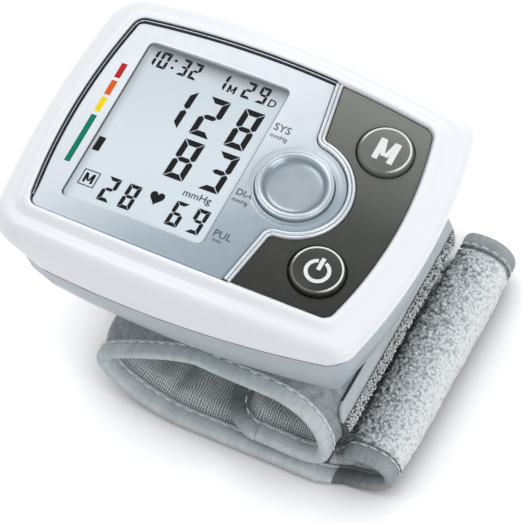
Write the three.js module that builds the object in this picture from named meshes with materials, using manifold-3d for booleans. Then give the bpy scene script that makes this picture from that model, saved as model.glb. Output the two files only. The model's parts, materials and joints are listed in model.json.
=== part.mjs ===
// A wrist blood pressure monitor: a moulded housing with a display and two buttons,
// the pump, valve, sensor, board and cells inside it, and the padded cuff clamped under it.
// Millimetres. +X runs to the right of the display, +Y to its top, +Z out of its face.
import * as THREE from "three";
import { mergeVertices } from "three/addons/utils/BufferGeometryUtils.js";
import Module from "manifold-3d";

const wasm = await Module();
wasm.setup();

// Shared clearances
const seatGap = 0.3; // between pieces that rest on each other
const overrun = 6; // how far a cutting body runs past what it cuts
const weld = 1e-4; // vertices closer than this are one

// Cells, which set the housing's width
const cellRadius = 5.25;
const cellLength = 43.5;
const nubRadius = 1.9;
const nubLength = 1;
const cellToSide = 10.75; // from a cell's end to the housing's side
const cellFromLeft = 13.8; // axis of the outer cell
const cellPitch = 11.2;

// Cuff band, seen from its rim as a loop folded under the housing
const loopLeft = 18.3; // left fold, left of the housing's middle
const loopRight = 35.4; // right side, right of the housing's middle
const loopHeight = 28.1; // from the table to the cuff's seat on the housing
const tailReach = 48.6; // right fold of the tail
const tailHeight = 11.5; // top of the tail's arch
const bandInset = 3.25; // each rim of the band, in from the housing's side
const bandOffset = 0.55; // the band lies this far behind the housing's middle
const bottomSkew = -1.5; // the lower run of the band lies further forward
const tailSkew = 3; // and the tail further back
const fabricThickness = 1.5;
const stiffenerThickness = 0.5;
const bladderThickness = 0.8;
const liningThickness = 0.6;
const tailThickness = 2;
const tapeWidth = 4; // binding tape, from the rim to its stitched edge
const tapeThickness = 0.5;
const tapeRamp = 1.2; // the padding rises to full thickness over this
const pinchShare = 0.25; // thickness left of the padding under the tape
const endRound = 9; // radius of the corners at the band's inner end
const bladderMargin = 9; // from the rims to the bladder
const stiffenerMargin = 7; // from the rims to the stiffener

// Housing
const caseLength = 84;
const caseWall = 1.8;
const faceRadius = 231; // the face is a shallow arch along X
const crownFromRight = 28.9; // crown of the face, in from the right end
const partingShare = 0.41; // depth of the parting line at the middle, of the housing's depth
const partingSlopeShare = 0.13; // the parting line climbs to the right
const leftBulge = 3;
const rightBulge = 4;
const sideBulge = 3.3;
const leftCorner = 12;
const rightCorner = 3.5;
const smallestCorner = 1.2;
const undersideDraw = 4.8; // the lower shell draws in by this at its underside
const sideDrawLeft = 1.3; // and its long sides by this more, at the left end
const sideDrawRight = 4.3; // and at the right end
const tongueHeight = 1.2; // tongue of the lower shell inside the upper one
const tongueThickness = 0.7;

// Face recess, with its plate, panel, trim and medallion
const rimLeft = 5.2;
const rimRight = 6;
const rimSide = 6.9;
const flareLeft = 1.1; // the rim stands out beyond the parting line
const flareRight = 1.2;
const flareLeftBulge = 2.2;
const flareSideBulge = 2.8;
const flareLeftCorner = 5.5;
const flareRightCorner = 2.5;
const recessLeftBulge = 2.4;
const recessRightBulge = 3.4;
const recessSideBulge = 1.5;
const recessCorner = 1.8;
const lipRise = 0.8; // rim of the recess above the face
const plateThickness = 1.6;
const deckThickness = 1.5;
const tabRadius = 11.45; // round tab of the plate about the medallion
const tabFillet = 2; // where the divider runs into the tab
const dividerInset = 0.35; // the divider above the tab, in from the medallion's middle
const dividerLean = 2.2; // the divider leans out by this at the recess edge
const trimWidth = 1.3;
const trimRise = 0.6;
const medallionRadius = 8;
const medallionRing = 0.65;
const medallionRise = 0.8;
const medallionDish = 0.7;
const dishShare = 0.8; // radius where its dish levels out
const medallionPegRadius = 2;
const medallionPeg = 2.2; // length below the plate

// Display
const windowMargin = 7.3; // from the recess edge to the window
const windowToMedallion = 2.7;
const windowFromSide = 5.85; // from the recess edge to the window's front and back edges
const windowCorner = 1.6;
const lensLap = 1; // the lens reaches under the plate by this
const lensThickness = 1;
const lensSink = 0.9; // of its raised middle, below the face
const lensInset = 0.45; // of its raised middle, from the window's edge
const glassThickness = 2;
const holderWall = 1.2;
const holderFloor = 0.9;
const holderPostRadius = 1.2;
const ribbonWidth = 14;
const ribbonThickness = 0.3;
const ribbonReach = 2 * holderWall + 6 * seatGap; // its bend beyond the holder

// Buttons and their switches
const buttonRadius = 5.7;
const buttonFromRight = 16.2;
const buttonFromSide = 10.6; // from the recess edge to each button
const buttonRise = 0.9;
const buttonDome = 0.35;
const domeShare = 0.75; // of the dome's height, half way to its middle
const buttonEdge = 0.6;
const buttonFlange = 1; // flange beyond the cap, under the deck
const flangeThickness = 0.8;
const buttonTravel = 0.6;
const stemRadius = 2;
const switchSide = 6;
const switchHeight = 3.4;
const plungerRadius = 1.4;
const plungerReach = 1.6; // above the switch, and down into it
const switchWell = 2.6;

// Board
const ribHeight = 2.3; // of the ribs between the cell bay and the board
const boardThickness = 1.2;
const boardLeftMargin = 6.5;
const boardFromSide = 11.1; // from the housing's long sides
const boardCorner = 3;
const postLength = 1.45; // of the shortest post under the display holder
const chipSide = 10;
const chipHeight = 1.4;

// Cell bay, contacts and door
const bayWall = 1.2;
const bayEnd = 3.15; // room for a contact beyond each cell end
const contactThickness = 0.4;
const contactHeight = 8;
const springRadius = 3.2;
const springWire = 0.28;
const springTurns = 3;
const doorThickness = 1.6;
const railDepth = 1;
const railThickness = 0.7;
const gripGroove = 0.5;
const gripPitch = 2.4;
const gripLength = 16;
const gripCount = 4;

// Pump, valve, sensor and tubes
const motorLength = 18;
const motorFromRight = 20.5;
const motorFromFront = 16.5;
const motorShoulder = 1;
const motorFlatShare = 0.86; // the can's flat sides, of its radius
const cradleShare = 0.8; // the ribs under the motor, as a share of its radius
const cradleRibShares = [0.25, 0.75]; // places along the motor
const shaftRadius = 1;
const boardClear = 0.8; // motor to board
const pumpLength = 9;
const pumpCorner = 3;
const nippleRadius = 1;
const nippleLength = 3;
const stubLength = 0.8; // the short nipples, beyond the body they stand on
const tubeBore = nippleRadius + seatGap;
const tubeRadius = 2.2;
const tubeSwing = 5.3; // how far the pump's tube bends out
const sensorTubeRadius = 1.8;
const manifoldRadius = 2.4;
const manifoldHeightShare = 0.25; // of the room between floor and board
const manifoldLiftShare = 0.37;
const manifoldFromMotor = 11.1;
const manifoldY = 6;
const valveWidth = 8;
const valveLength = 9;
const valveSocket = 1.5;
const sensorSide = 7;
const sensorHeightShare = 0.25; // of the same room
const sensorY = -10.5;

// Screws
const screwShank = 1.1;
const screwHead = 2;
const screwHeadHeight = 1.4;
const screwSink = 0.6;
const crossWidth = 0.7;
const crossDepth = 0.8;
const crossShare = 0.6; // reach of the cross, of the head's radius
const screwTopShare = 0.7; // the flat of the head, of its radius
const tubeWall = 1.1; // wall of a screw tube beyond the head
const bossWall = 1.1; // wall of a threaded boss beyond the shank
const sideScrewFromDoor = 24.85; // the two screws by the front and back edges
const sideScrewInset = 11.4;
const endScrewFromRight = 9;
const clampScrewHead = 1.9;
const clampScrewLength = 3.6;

// Clamp plate inside the cuff
const clampThickness = 0.7;
const clampDepth = 0.8; // below the outside of the fabric
const clampMargin = 0.6; // from the flat seat's ends to the plate
const clampInset = 7.75; // from the band's rims to the plate
const clampScrewInset = 3;
const clampBossRadius = 2.2;

// Hook strip at the tail's end
const hookThickness = 0.9;
const hookTopShare = 0.6; // reach up the loop's right side

// Places that follow from the sizes above
const caseWidth = cellLength + nubLength + 2 * cellToSide;
const bandWidth = caseWidth - 2 * bandInset;
const bandNearY = bandOffset - bandWidth / 2;
const leftX = -caseLength / 2;
const rightX = caseLength / 2;
const crownX = rightX - crownFromRight;
const recess = {
  left: leftX + rimLeft,
  right: rightX - rimRight,
  half: caseWidth / 2 - rimSide,
};
const windowLeft = recess.left + windowMargin;
const windowRight = crownX - medallionRadius - windowToMedallion;
const windowX = (windowLeft + windowRight) / 2;
const windowWidth = windowRight - windowLeft;
const windowHeight = 2 * (recess.half - windowFromSide);
const buttonX = rightX - buttonFromRight;
const buttonSpread = recess.half - buttonFromSide;
const outerCellX = leftX + cellFromLeft;
const innerCellX = outerCellX + cellPitch;
const cellEndY = (cellLength + nubLength) / 2;
const bayHalf = cellEndY + bayEnd;
const doorInnerX = innerCellX + cellRadius + seatGap;
const doorHalfWidth = cellEndY + railDepth;
const sideScrewX = doorInnerX + sideScrewFromDoor;
const sideScrewY = caseWidth / 2 - sideScrewInset;
const tubeOuter = screwHead + seatGap + tubeWall;
const boardHalfWidth = caseWidth / 2 - boardFromSide;
const boardRight = rightX - endScrewFromRight - tubeOuter - seatGap;
const motorX = rightX - motorFromRight;
const motorFrontY = motorFromFront - caseWidth / 2;
const manifoldX = motorX - manifoldFromMotor;
const clampHalfWidth = bandWidth / 2 - clampInset;

// Levels, from the table up
const archDrop = (offset) => faceRadius - Math.sqrt(faceRadius ** 2 - offset ** 2);
const windowSlope = Math.asin((crownX - windowX) / faceRadius);
const lensTop = -(plateThickness + archDrop(windowWidth / 2 + lensLap) + seatGap);
const glassTop = lensTop - lensThickness - seatGap;
const glassLow = glassTop - glassThickness;
const holderHalfX = windowWidth / 2 + lensLap + seatGap + holderWall;
const undersideZ = loopHeight + seatGap;
const floorZ = undersideZ + caseWall;
const cellZ = undersideZ + doorThickness + seatGap + cellRadius;
const bayRoof = cellZ + cellRadius + seatGap;
const boardZ = bayRoof + bayWall + ribHeight + seatGap;
const boardTop = boardZ + boardThickness;
const holderLow = boardTop + postLength;
const crownZ = holderLow + holderFloor + seatGap - glassLow + archDrop(crownX - windowX + holderHalfX);
const caseDepth = crownZ - undersideZ;
const motorRadius = (boardZ - boardClear - floorZ - seatGap) / 2;
const motorZ = floorZ + seatGap + motorRadius;
const manifoldZ = floorZ + manifoldLiftShare * (boardZ - floorZ);
const manifoldHeight = manifoldHeightShare * (boardZ - floorZ);
const sensorHeight = sensorHeightShare * (boardZ - floorZ);
const liningDepth = fabricThickness + stiffenerThickness + bladderThickness + 3 * seatGap;
const bandDepth = liningDepth + liningThickness;
const tapeRebate = tapeThickness + seatGap;

// Colours and finishes
const finish = (color, roughness, metalness = 0) =>
  new THREE.MeshStandardMaterial({ color, roughness, metalness });
const whiteGloss = finish(0xf1f3f5, 0.22);
const greyShell = finish(0x8d979e, 0.35);
const silverPaint = finish(0xb4bec6, 0.3, 0.55);
const darkPanel = finish(0x53534c, 0.25);
const brightTrim = finish(0xd6dde2, 0.15, 0.9);
const clearPlastic = finish(0xe8eef2, 0.05);
const displayGlass = finish(0xd3dae0, 0.2);
const natural = finish(0xe4e2da, 0.6);
const boardGreen = finish(0x1f5a3a, 0.5);
const blackPlastic = finish(0x1b1c1e, 0.5);
const steel = finish(0xb9bcc0, 0.3, 1);
const cellJacket = finish(0x2c4f86, 0.35, 0.3);
const softTube = finish(0xd8d4c6, 0.6);
const outerCloth = finish(0x878f93, 0.95);
const liningCloth = finish(0x777f82, 0.95);
const tapeCloth = finish(0xa9b0b2, 0.85);
const loopPile = finish(0xb6bbbd, 1);
const rubber = finish(0x4a4d50, 0.8);

const part = new THREE.Group();

// Solids from closed geometries

function solidOf(geometry) {
  const plain = new THREE.BufferGeometry();
  plain.setAttribute("position", geometry.getAttribute("position"));
  if (geometry.index) plain.setIndex(geometry.index);
  const merged = mergeVertices(plain, weld);
  const vertProperties = merged.getAttribute("position").array;
  const triVerts = new Uint32Array(merged.index.array);
  const made = new wasm.Manifold(new wasm.Mesh({ numProp: 3, vertProperties, triVerts }));
  if (made.volume() > 0) return made;
  for (let i = 0; i < triVerts.length; i += 3) {
    [triVerts[i + 1], triVerts[i + 2]] = [triVerts[i + 2], triVerts[i + 1]];
  }
  return new wasm.Manifold(new wasm.Mesh({ numProp: 3, vertProperties, triVerts }));
}

function geometryOf(solid) {
  const mesh = solid.getMesh();
  const geometry = new THREE.BufferGeometry();
  geometry.setAttribute("position", new THREE.BufferAttribute(mesh.vertProperties, 3));
  geometry.setIndex(new THREE.BufferAttribute(mesh.triVerts, 1));
  geometry.computeVertexNormals();
  return geometry;
}

const cut = (body, ...tools) => tools.reduce((left, tool) => left.subtract(tool), body);
const join = (body, ...others) => others.reduce((sum, other) => sum.add(other), body);
const common = (body, ...others) => others.reduce((left, other) => left.intersect(other), body);

function add(name, solid, material, parent = part) {
  const mesh = new THREE.Mesh(geometryOf(solid), material);
  mesh.name = name;
  parent.add(mesh);
  return mesh;
}

function block(x0, x1, y0, y1, z0, z1) {
  const box = new THREE.BoxGeometry(x1 - x0, y1 - y0, z1 - z0);
  return solidOf(box.translate((x0 + x1) / 2, (y0 + y1) / 2, (z0 + z1) / 2));
}

function disc(radius, x, y, z0, z1, sides = 20) {
  const cylinder = new THREE.CylinderGeometry(radius, radius, z1 - z0, sides);
  return solidOf(cylinder.rotateX(Math.PI / 2).translate(x, y, (z0 + z1) / 2));
}

function rodAlongY(radius, x, z, y0, y1, sides = 20) {
  const cylinder = new THREE.CylinderGeometry(radius, radius, y1 - y0, sides);
  return solidOf(cylinder.translate(x, (y0 + y1) / 2, z));
}

function prism(outline, z0, z1) {
  const shape = new THREE.Shape(outline);
  const body = new THREE.ExtrudeGeometry(shape, { depth: z1 - z0, bevelEnabled: false });
  return solidOf(body.translate(0, 0, z0));
}

// A profile of (x, z) points run along Y.
function sidePrism(profile, y0, y1) {
  const shape = new THREE.Shape(profile);
  const body = new THREE.ExtrudeGeometry(shape, { depth: y1 - y0, bevelEnabled: false });
  return solidOf(body.rotateX(Math.PI / 2).translate(0, y1, 0));
}

// A profile of (radius, z) points turned about a vertical axis.
function turned(profile, sides = 24) {
  const points = profile.map(([radius, z]) => new THREE.Vector2(radius, z));
  return solidOf(new THREE.LatheGeometry(points, sides).rotateX(Math.PI / 2));
}

// A solid through rings of points, each ring with as many points as the others. The end
// rings are closed by a fan about their middle, or by the given quads of ring points.
function loft(rings, quads = null) {
  const count = rings[0].length;
  const positions = rings.flat().flatMap((p) => [p.x, p.y, p.z]);
  const index = [];
  const quad = (a, b, c, d) => index.push(a, b, c, a, c, d);
  for (let i = 0; i < rings.length - 1; i += 1) {
    const here = i * count;
    const next = here + count;
    for (let j = 0; j < count; j += 1) {
      const k = (j + 1) % count;
      quad(here + j, here + k, next + k, next + j);
    }
  }
  const fan = (start, flip) => {
    const middle = positions.length / 3;
    const centre = new THREE.Vector3();
    for (const point of rings[start / count]) centre.add(point);
    centre.divideScalar(count);
    positions.push(centre.x, centre.y, centre.z);
    for (let j = 0; j < count; j += 1) {
      const k = (j + 1) % count;
      index.push(middle, start + (flip ? k : j), start + (flip ? j : k));
    }
  };
  const patch = (start, flip) => {
    for (const corners of quads) {
      const [a, b, c, d] = corners.map((corner) => start + corner);
      if (flip) quad(a, d, c, b);
      else quad(a, b, c, d);
    }
  };
  const cap = quads ? patch : fan;
  cap(0, true);
  cap((rings.length - 1) * count, false);
  const geometry = new THREE.BufferGeometry();
  geometry.setAttribute("position", new THREE.Float32BufferAttribute(positions, 3));
  geometry.setIndex(index);
  return solidOf(geometry);
}

// Cap quads for a ring whose two halves run side by side, such as a layer of cloth.
function stripQuads(count) {
  return Array.from({ length: count / 2 - 1 }, (_, j) => [j, j + 1, count - 2 - j, count - 1 - j]);
}

// A round tube, or a rod where bore is 0, along a curve.
function tubeAlong(curve, radius, bore, steps, sides = 8) {
  const ring = (r) => {
    const turn = (i) => (i / sides) * 2 * Math.PI;
    const point = (i) => new THREE.Vector2(r * Math.cos(turn(i)), r * Math.sin(turn(i)));
    return Array.from({ length: sides }, (_, i) => point(i));
  };
  const shape = new THREE.Shape(ring(radius));
  if (bore) shape.holes.push(new THREE.Path(ring(bore)));
  return solidOf(new THREE.ExtrudeGeometry(shape, { steps, extrudePath: curve }));
}

// Plan outlines

// A rounded rectangle whose sides bow outwards. Every call gives as many points.
function bowedOutline({ left, right, half, leftBow, rightBow, sideBow, leftRound, rightRound }) {
  const cornerSteps = 4;
  const longSteps = 7;
  const shortSteps = 5;
  const [x0, x1, y1] = [left + leftBow, right - rightBow, half - sideBow];
  const plain = [];
  const run = (ax, ay, bx, by, steps) => {
    for (let i = 1; i < steps; i += 1) {
      const share = i / steps;
      plain.push([ax + (bx - ax) * share, ay + (by - ay) * share]);
    }
  };
  const turn = (cx, cy, radius, from) => {
    for (let i = 0; i <= cornerSteps; i += 1) {
      const angle = from + (i / cornerSteps) * (Math.PI / 2);
      plain.push([cx + radius * Math.cos(angle), cy + radius * Math.sin(angle)]);
    }
  };
  turn(x1 - rightRound, y1 - rightRound, rightRound, 0);
  run(x1 - rightRound, y1, x0 + leftRound, y1, longSteps);
  turn(x0 + leftRound, y1 - leftRound, leftRound, Math.PI / 2);
  run(x0, y1 - leftRound, x0, -y1 + leftRound, shortSteps);
  turn(x0 + leftRound, -y1 + leftRound, leftRound, Math.PI);
  run(x0 + leftRound, -y1, x1 - rightRound, -y1, longSteps);
  turn(x1 - rightRound, -y1 + rightRound, rightRound, -Math.PI / 2);
  run(x1, -y1 + rightRound, x1, y1 - rightRound, shortSteps);
  return plain.map(([x, y]) => {
    const end = x < 0 ? x0 : x1;
    const bow = x < 0 ? -leftBow : rightBow;
    const across = 1 - (y / y1) ** 2;
    const along = 1 - (x / end) ** 2;
    return new THREE.Vector2(x + (x / end) * bow * across, y + (y / y1) * sideBow * along);
  });
}

function caseOutline(inset) {
  return bowedOutline({
    left: leftX + inset,
    right: rightX - inset,
    half: caseWidth / 2 - inset,
    leftBow: leftBulge,
    rightBow: rightBulge,
    sideBow: sideBulge,
    leftRound: Math.max(leftCorner - inset, smallestCorner),
    rightRound: Math.max(rightCorner - inset, smallestCorner),
  });
}

// The rim's widest line, which stands out beyond the parting line.
function flareOutline() {
  return bowedOutline({
    left: leftX - flareLeft,
    right: rightX + flareRight,
    half: caseWidth / 2,
    leftBow: flareLeftBulge,
    rightBow: rightBulge,
    sideBow: flareSideBulge,
    leftRound: flareLeftCorner,
    rightRound: flareRightCorner,
  });
}

function recessOutline(inset) {
  return bowedOutline({
    left: recess.left + inset,
    right: recess.right - inset,
    half: recess.half - inset,
    leftBow: recessLeftBulge,
    rightBow: recessRightBulge,
    sideBow: recessSideBulge,
    leftRound: Math.max(recessCorner - inset, smallestCorner),
    rightRound: Math.max(recessCorner - inset, smallestCorner),
  });
}

function roundedRectangle(halfX, halfY, corner, cx = 0, cy = 0) {
  const shape = new THREE.Shape();
  shape.moveTo(cx - halfX + corner, cy - halfY);
  shape.lineTo(cx + halfX - corner, cy - halfY);
  shape.absarc(cx + halfX - corner, cy - halfY + corner, corner, -Math.PI / 2, 0);
  shape.absarc(cx + halfX - corner, cy + halfY - corner, corner, 0, Math.PI / 2);
  shape.absarc(cx - halfX + corner, cy + halfY - corner, corner, Math.PI / 2, Math.PI);
  shape.absarc(cx - halfX + corner, cy - halfY + corner, corner, Math.PI, 1.5 * Math.PI);
  return shape.getPoints(3);
}

// The face and the parting line

function faceZ(x) {
  return crownZ - archDrop(x - crownX);
}

function partingZ(x) {
  return crownZ - partingShare * caseDepth + partingSlopeShare * x;
}

const deckTop = (x) => faceZ(x) - plateThickness - seatGap;
const deckBottom = (x) => deckTop(x) - deckThickness;

// Everything between two depths below the face, over the whole housing.
function faceLayer(rise, depth) {
  const steps = 16;
  const span = caseLength + 2 * overrun;
  const line = (lift) =>
    Array.from({ length: steps + 1 }, (_, i) => {
      const x = leftX - overrun + (i / steps) * span;
      return new THREE.Vector2(x, faceZ(x) + lift);
    });
  const profile = [...line(rise), ...line(-depth).reverse()];
  return sidePrism(profile, -caseWidth, caseWidth);
}

// Housing shells

// From the parting line up and inwards: share of the rim's width, share of the wall's
// drop, share of the flare that is left.
const rimShares = [
  [1, 1, 0],
  [1, 0.75, 0.6],
  [1, 0.5, 1],
  [0.975, 0.33, 1],
  [0.9, 0.2, 1],
  [0.72, 0.13, 1],
  [0.4, 0.112, 1],
  [0.26, 0.045, 1],
  [0.14, 0, 1],
  [0, 0.035, 1],
];

function topShellOuter() {
  const low = caseOutline(0);
  const wide = flareOutline();
  const inner = recessOutline(0);
  const ring = ([widthShare, dropShare, flareShare]) =>
    inner.map((edge, i) => {
      const outer = low[i].clone().lerp(wide[i], flareShare);
      const { x, y } = edge.clone().lerp(outer, widthShare);
      const top = faceZ(x) + lipRise;
      const bottom = partingZ(x) + seatGap / 2;
      return new THREE.Vector3(x, y, top + (bottom - top) * dropShare);
    });
  return loft(rimShares.map(ring));
}

function topShellCavity() {
  const ring = (inset, height) =>
    caseOutline(inset).map((p) => new THREE.Vector3(p.x, p.y, height(p.x)));
  const shoulderInset = caseWall + deckThickness + seatGap;
  const body = loft([
    ring(caseWall, (x) => partingZ(x) - overrun),
    ring(caseWall, (x) => (partingZ(x) + deckBottom(x)) / 2),
    ring(shoulderInset, (x) => faceZ(x) + overrun),
  ]);
  return cut(body, faceLayer(2 * overrun, faceZ(0) - deckBottom(0)));
}

// The rebate that takes the tongue of the lower shell.
function tongueRebate() {
  const ring = (height) =>
    caseOutline(caseWall - tongueThickness - seatGap).map(
      (p) => new THREE.Vector3(p.x, p.y, partingZ(p.x) + height),
    );
  return loft([ring(-overrun), ring(tongueHeight + seatGap)]);
}

const caseScrews = [
  [sideScrewX, -sideScrewY],
  [sideScrewX, sideScrewY],
  [rightX - endScrewFromRight, 0],
];

const buttonPlaces = [
  ["memory", buttonSpread],
  ["power", -buttonSpread],
];

function windowOutline(lap, cx = 0) {
  const [halfX, halfY] = [windowWidth / 2 + lap, windowHeight / 2 + lap];
  return roundedRectangle(halfX, halfY, windowCorner + lap, cx);
}

function windowCut(lap) {
  return prism(windowOutline(lap, windowX), floorZ, crownZ + overrun);
}

function addTopShell() {
  const pocket = common(
    prism(recessOutline(0), floorZ, crownZ + overrun),
    faceLayer(overrun, plateThickness + seatGap),
  );
  let shell = cut(topShellOuter(), pocket, topShellCavity(), tongueRebate());
  const pilot = screwShank + seatGap;
  for (const [x, y] of caseScrews) {
    const boss = disc(pilot + bossWall, x, y, boardTop, deckTop(x) - seatGap, 16);
    shell = join(shell, boss);
    shell = cut(shell, disc(pilot, x, y, floorZ, deckBottom(x) - seatGap, 12));
  }
  const opening = windowCut(lensLap + 2 * seatGap);
  const pegHole = disc(medallionPegRadius + seatGap, crownX, 0, floorZ, crownZ, 16);
  shell = cut(shell, opening, pegHole);
  for (const [, y] of buttonPlaces) {
    shell = cut(shell, disc(buttonRadius + seatGap, buttonX, y, floorZ, crownZ, 28));
  }
  add("top_shell", shell, whiteGloss);
}

// From the parting line down: share of the depth, share of the draw.
const drawShares = [
  [0, 0],
  [0.3, 0.1],
  [0.6, 0.35],
  [0.82, 0.62],
  [0.94, 0.84],
  [1, 1],
];

// What the long sides draw in at the underside, on top of the draw of the ends.
function sideDraw(x) {
  return sideDrawLeft + ((sideDrawRight - sideDrawLeft) * (x - leftX)) / caseLength;
}

function bottomBody(extraInset, floorLift, topLift) {
  const ring = (depthShare, drawShare, lift) =>
    caseOutline(extraInset + undersideDraw * drawShare).map((p) => {
      const y = p.y * (1 - (sideDraw(p.x) * drawShare) / (caseWidth / 2));
      const top = partingZ(p.x);
      const low = undersideZ + floorLift;
      return new THREE.Vector3(p.x, y, top + (low - top) * depthShare + lift);
    });
  const rings = drawShares.map(([depth, draw]) => ring(depth, draw, 0));
  rings.splice(0, 1, ring(0, 0, topLift));
  return loft(rings.reverse());
}

function tongue() {
  const ring = (inset, lift) =>
    caseOutline(inset).map((p) => new THREE.Vector3(p.x, p.y, partingZ(p.x) + lift));
  const tube = (inset, reach) => loft([ring(inset, -reach), ring(inset, reach)]);
  return cut(tube(caseWall - tongueThickness, tongueHeight), tube(caseWall, overrun));
}

function bayHollow() {
  const halfRow = cellRadius + seatGap;
  const [x0, x1] = [outerCellX - halfRow, innerCellX + halfRow];
  const room = block(x0, x1, -bayHalf, bayHalf, undersideZ - overrun, bayRoof);
  return common(room, bottomBody(caseWall, -overrun, 0));
}

// The door and its opening, grown by a clearance.
function doorSpace(clearance) {
  const inner = doorInnerX + clearance;
  const top = undersideZ + doorThickness + clearance;
  const half = doorHalfWidth + clearance;
  const railLow = undersideZ + doorThickness - railThickness - clearance;
  return join(
    block(leftX - overrun, inner, -half, half, undersideZ - clearance, top),
    block(leftX - overrun, inner, -half - railDepth, half + railDepth, railLow, top),
  );
}

function motorCradle() {
  const half = bayWall / 2;
  const side = motorRadius * cradleShare;
  const top = floorZ + side;
  const [y0, y1] = [motorFrontY - overrun, motorFrontY + motorLength + overrun];
  const room = rodAlongY(motorRadius + seatGap, motorX, motorZ, y0, y1);
  return cradleRibShares.map((share) => {
    const y = motorFrontY + share * motorLength;
    return cut(block(motorX - side, motorX + side, y - half, y + half, floorZ - half, top), room);
  });
}

function boardRibs() {
  const half = bayWall / 2;
  const ribY = bayHalf / 2;
  return [-ribY, ribY].map((y) =>
    block(outerCellX, innerCellX, y - half, y + half, bayRoof, boardZ - seatGap),
  );
}

function clampHoles(radius, z0, z1) {
  return clampScrewPlaces().map(([x, y]) => disc(radius, x, y, z0, z1, 16));
}

// The closed block about the cell bay.
function bayHousing() {
  const far = bayHalf + bayWall;
  const room = block(leftX, doorInnerX + bayWall, -far, far, undersideZ, bayRoof + bayWall);
  return common(room, bottomBody(caseWall / 2, 0, -seatGap / 2));
}

function screwTubes() {
  const low = undersideZ + caseWall / 2;
  const tubes = caseScrews.map(([x, y]) => disc(tubeOuter, x, y, low, boardTop - seatGap));
  return tubes.map((tube) => common(tube, bottomBody(caseWall / 2, 0, overrun)));
}

function caseScrewHoles() {
  const headTop = undersideZ + screwSink + screwHeadHeight + seatGap;
  return caseScrews.flatMap(([x, y]) => [
    disc(screwHead + seatGap, x, y, undersideZ - overrun, headTop, 18),
    disc(screwShank + seatGap, x, y, undersideZ, boardTop + overrun, 12),
  ]);
}

function addBottomShell() {
  const inside = block(leftX, rightX, -caseWidth, caseWidth, floorZ, crownZ);
  const cavity = common(bottomBody(caseWall, caseWall, overrun), inside);
  const walls = cut(bottomBody(0, 0, -seatGap / 2), cavity);
  const insides = [bayHousing(), tongue(), ...boardRibs(), ...motorCradle(), ...screwTubes()];
  const low = undersideZ - overrun;
  const holes = [
    bayHollow(),
    doorSpace(seatGap),
    ...caseScrewHoles(),
    disc(tubeRadius + seatGap, manifoldX, manifoldY, low, floorZ + overrun, 16),
    ...clampHoles(clampBossRadius + seatGap, low, floorZ + seatGap),
  ];
  add("bottom_shell", cut(join(walls, ...insides), ...holes), greyShell);
}

function addBatteryDoor() {
  const low = undersideZ - overrun;
  const halfLength = gripLength / 2;
  const halfGroove = gripPitch / 4;
  const grooves = Array.from({ length: gripCount }, (_, i) => {
    const x = outerCellX + i * gripPitch;
    const top = undersideZ + gripGroove;
    return block(x - halfGroove, x + halfGroove, -halfLength, halfLength, low, top);
  });
  const door = common(doorSpace(0), bottomBody(0, 0, 0));
  add("battery_door", cut(door, ...grooves), greyShell);
}

// Face plate, button panel, divider trim and medallion

// The divider between plate and panel, moved sideways by an offset: a leaning line, a
// fillet, the arc of the tab, and the same again mirrored.
function dividerLine(offset) {
  const filletSteps = 4;
  const arcSteps = 18;
  const reach = caseWidth / 2;
  const filletX = tabFillet - dividerInset;
  const filletY = Math.sqrt((tabRadius + tabFillet) ** 2 - filletX ** 2);
  const lean = (dividerLean * (reach - filletY)) / (recess.half - filletY);
  const meets = Math.atan2(filletY, filletX);
  const radius = tabFillet - offset;
  const half = [new THREE.Vector2(crownX - dividerInset - lean + offset, reach)];
  for (let i = 0; i <= filletSteps; i += 1) {
    const angle = Math.PI + (i / filletSteps) * meets;
    const x = crownX + filletX + radius * Math.cos(angle);
    half.push(new THREE.Vector2(x, filletY + radius * Math.sin(angle)));
  }
  for (let i = 1; i < arcSteps; i += 1) {
    const angle = meets * (1 - i / arcSteps);
    const across = (tabRadius + offset) * Math.cos(angle);
    half.push(new THREE.Vector2(crownX + across, (tabRadius + offset) * Math.sin(angle)));
  }
  const mirrored = half.map((p) => new THREE.Vector2(p.x, -p.y)).reverse();
  return [...half, new THREE.Vector2(crownX + tabRadius + offset, 0), ...mirrored];
}

// All that lies to the left of the divider.
function leftOfDivider(offset) {
  const far = leftX - overrun;
  const corners = [
    new THREE.Vector2(far, -caseWidth / 2),
    new THREE.Vector2(far, caseWidth / 2),
  ];
  return prism([...dividerLine(offset), ...corners], floorZ, crownZ + overrun);
}

function plateBlank(rise) {
  const outline = prism(recessOutline(seatGap), floorZ, crownZ + overrun);
  return common(outline, faceLayer(rise, plateThickness));
}

function addFaceplate() {
  const half = trimWidth / 2 + seatGap;
  const hole = disc(medallionRadius + seatGap, crownX, 0, floorZ, crownZ + overrun, 48);
  const blank = common(plateBlank(0), leftOfDivider(-half));
  add("faceplate", cut(blank, hole, windowCut(0)), silverPaint);
}

function addButtonPanel() {
  let panel = cut(plateBlank(0), leftOfDivider(trimWidth / 2 + seatGap));
  for (const [, y] of buttonPlaces) {
    panel = cut(panel, disc(buttonRadius + seatGap, buttonX, y, floorZ, crownZ + overrun, 36));
  }
  add("button_panel", panel, darkPanel);
}

function addDividerTrim() {
  const ribbon = cut(leftOfDivider(trimWidth / 2), leftOfDivider(-trimWidth / 2));
  add("divider_trim", common(plateBlank(trimRise), ribbon), brightTrim);
}

function addMedallion() {
  const inner = medallionRadius - medallionRing;
  const top = medallionRise;
  const low = -plateThickness;
  const profile = [
    [0, low - medallionPeg],
    [medallionPegRadius, low - medallionPeg],
    [medallionPegRadius, low],
    [medallionRadius, low],
    [medallionRadius, top - medallionRing / 2],
    [medallionRadius - medallionRing / 3, top],
    [inner + medallionRing / 4, top],
    [inner, top - medallionRing / 2],
    [inner * dishShare, top - medallionDish],
    [0, top - medallionDish - medallionRing / 4],
  ];
  add("centre_medallion", turned(profile, 32), silverPaint).position.set(crownX, 0, crownZ);
}

// Display: lens, glass, holder and ribbon, square to the face at the window

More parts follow.
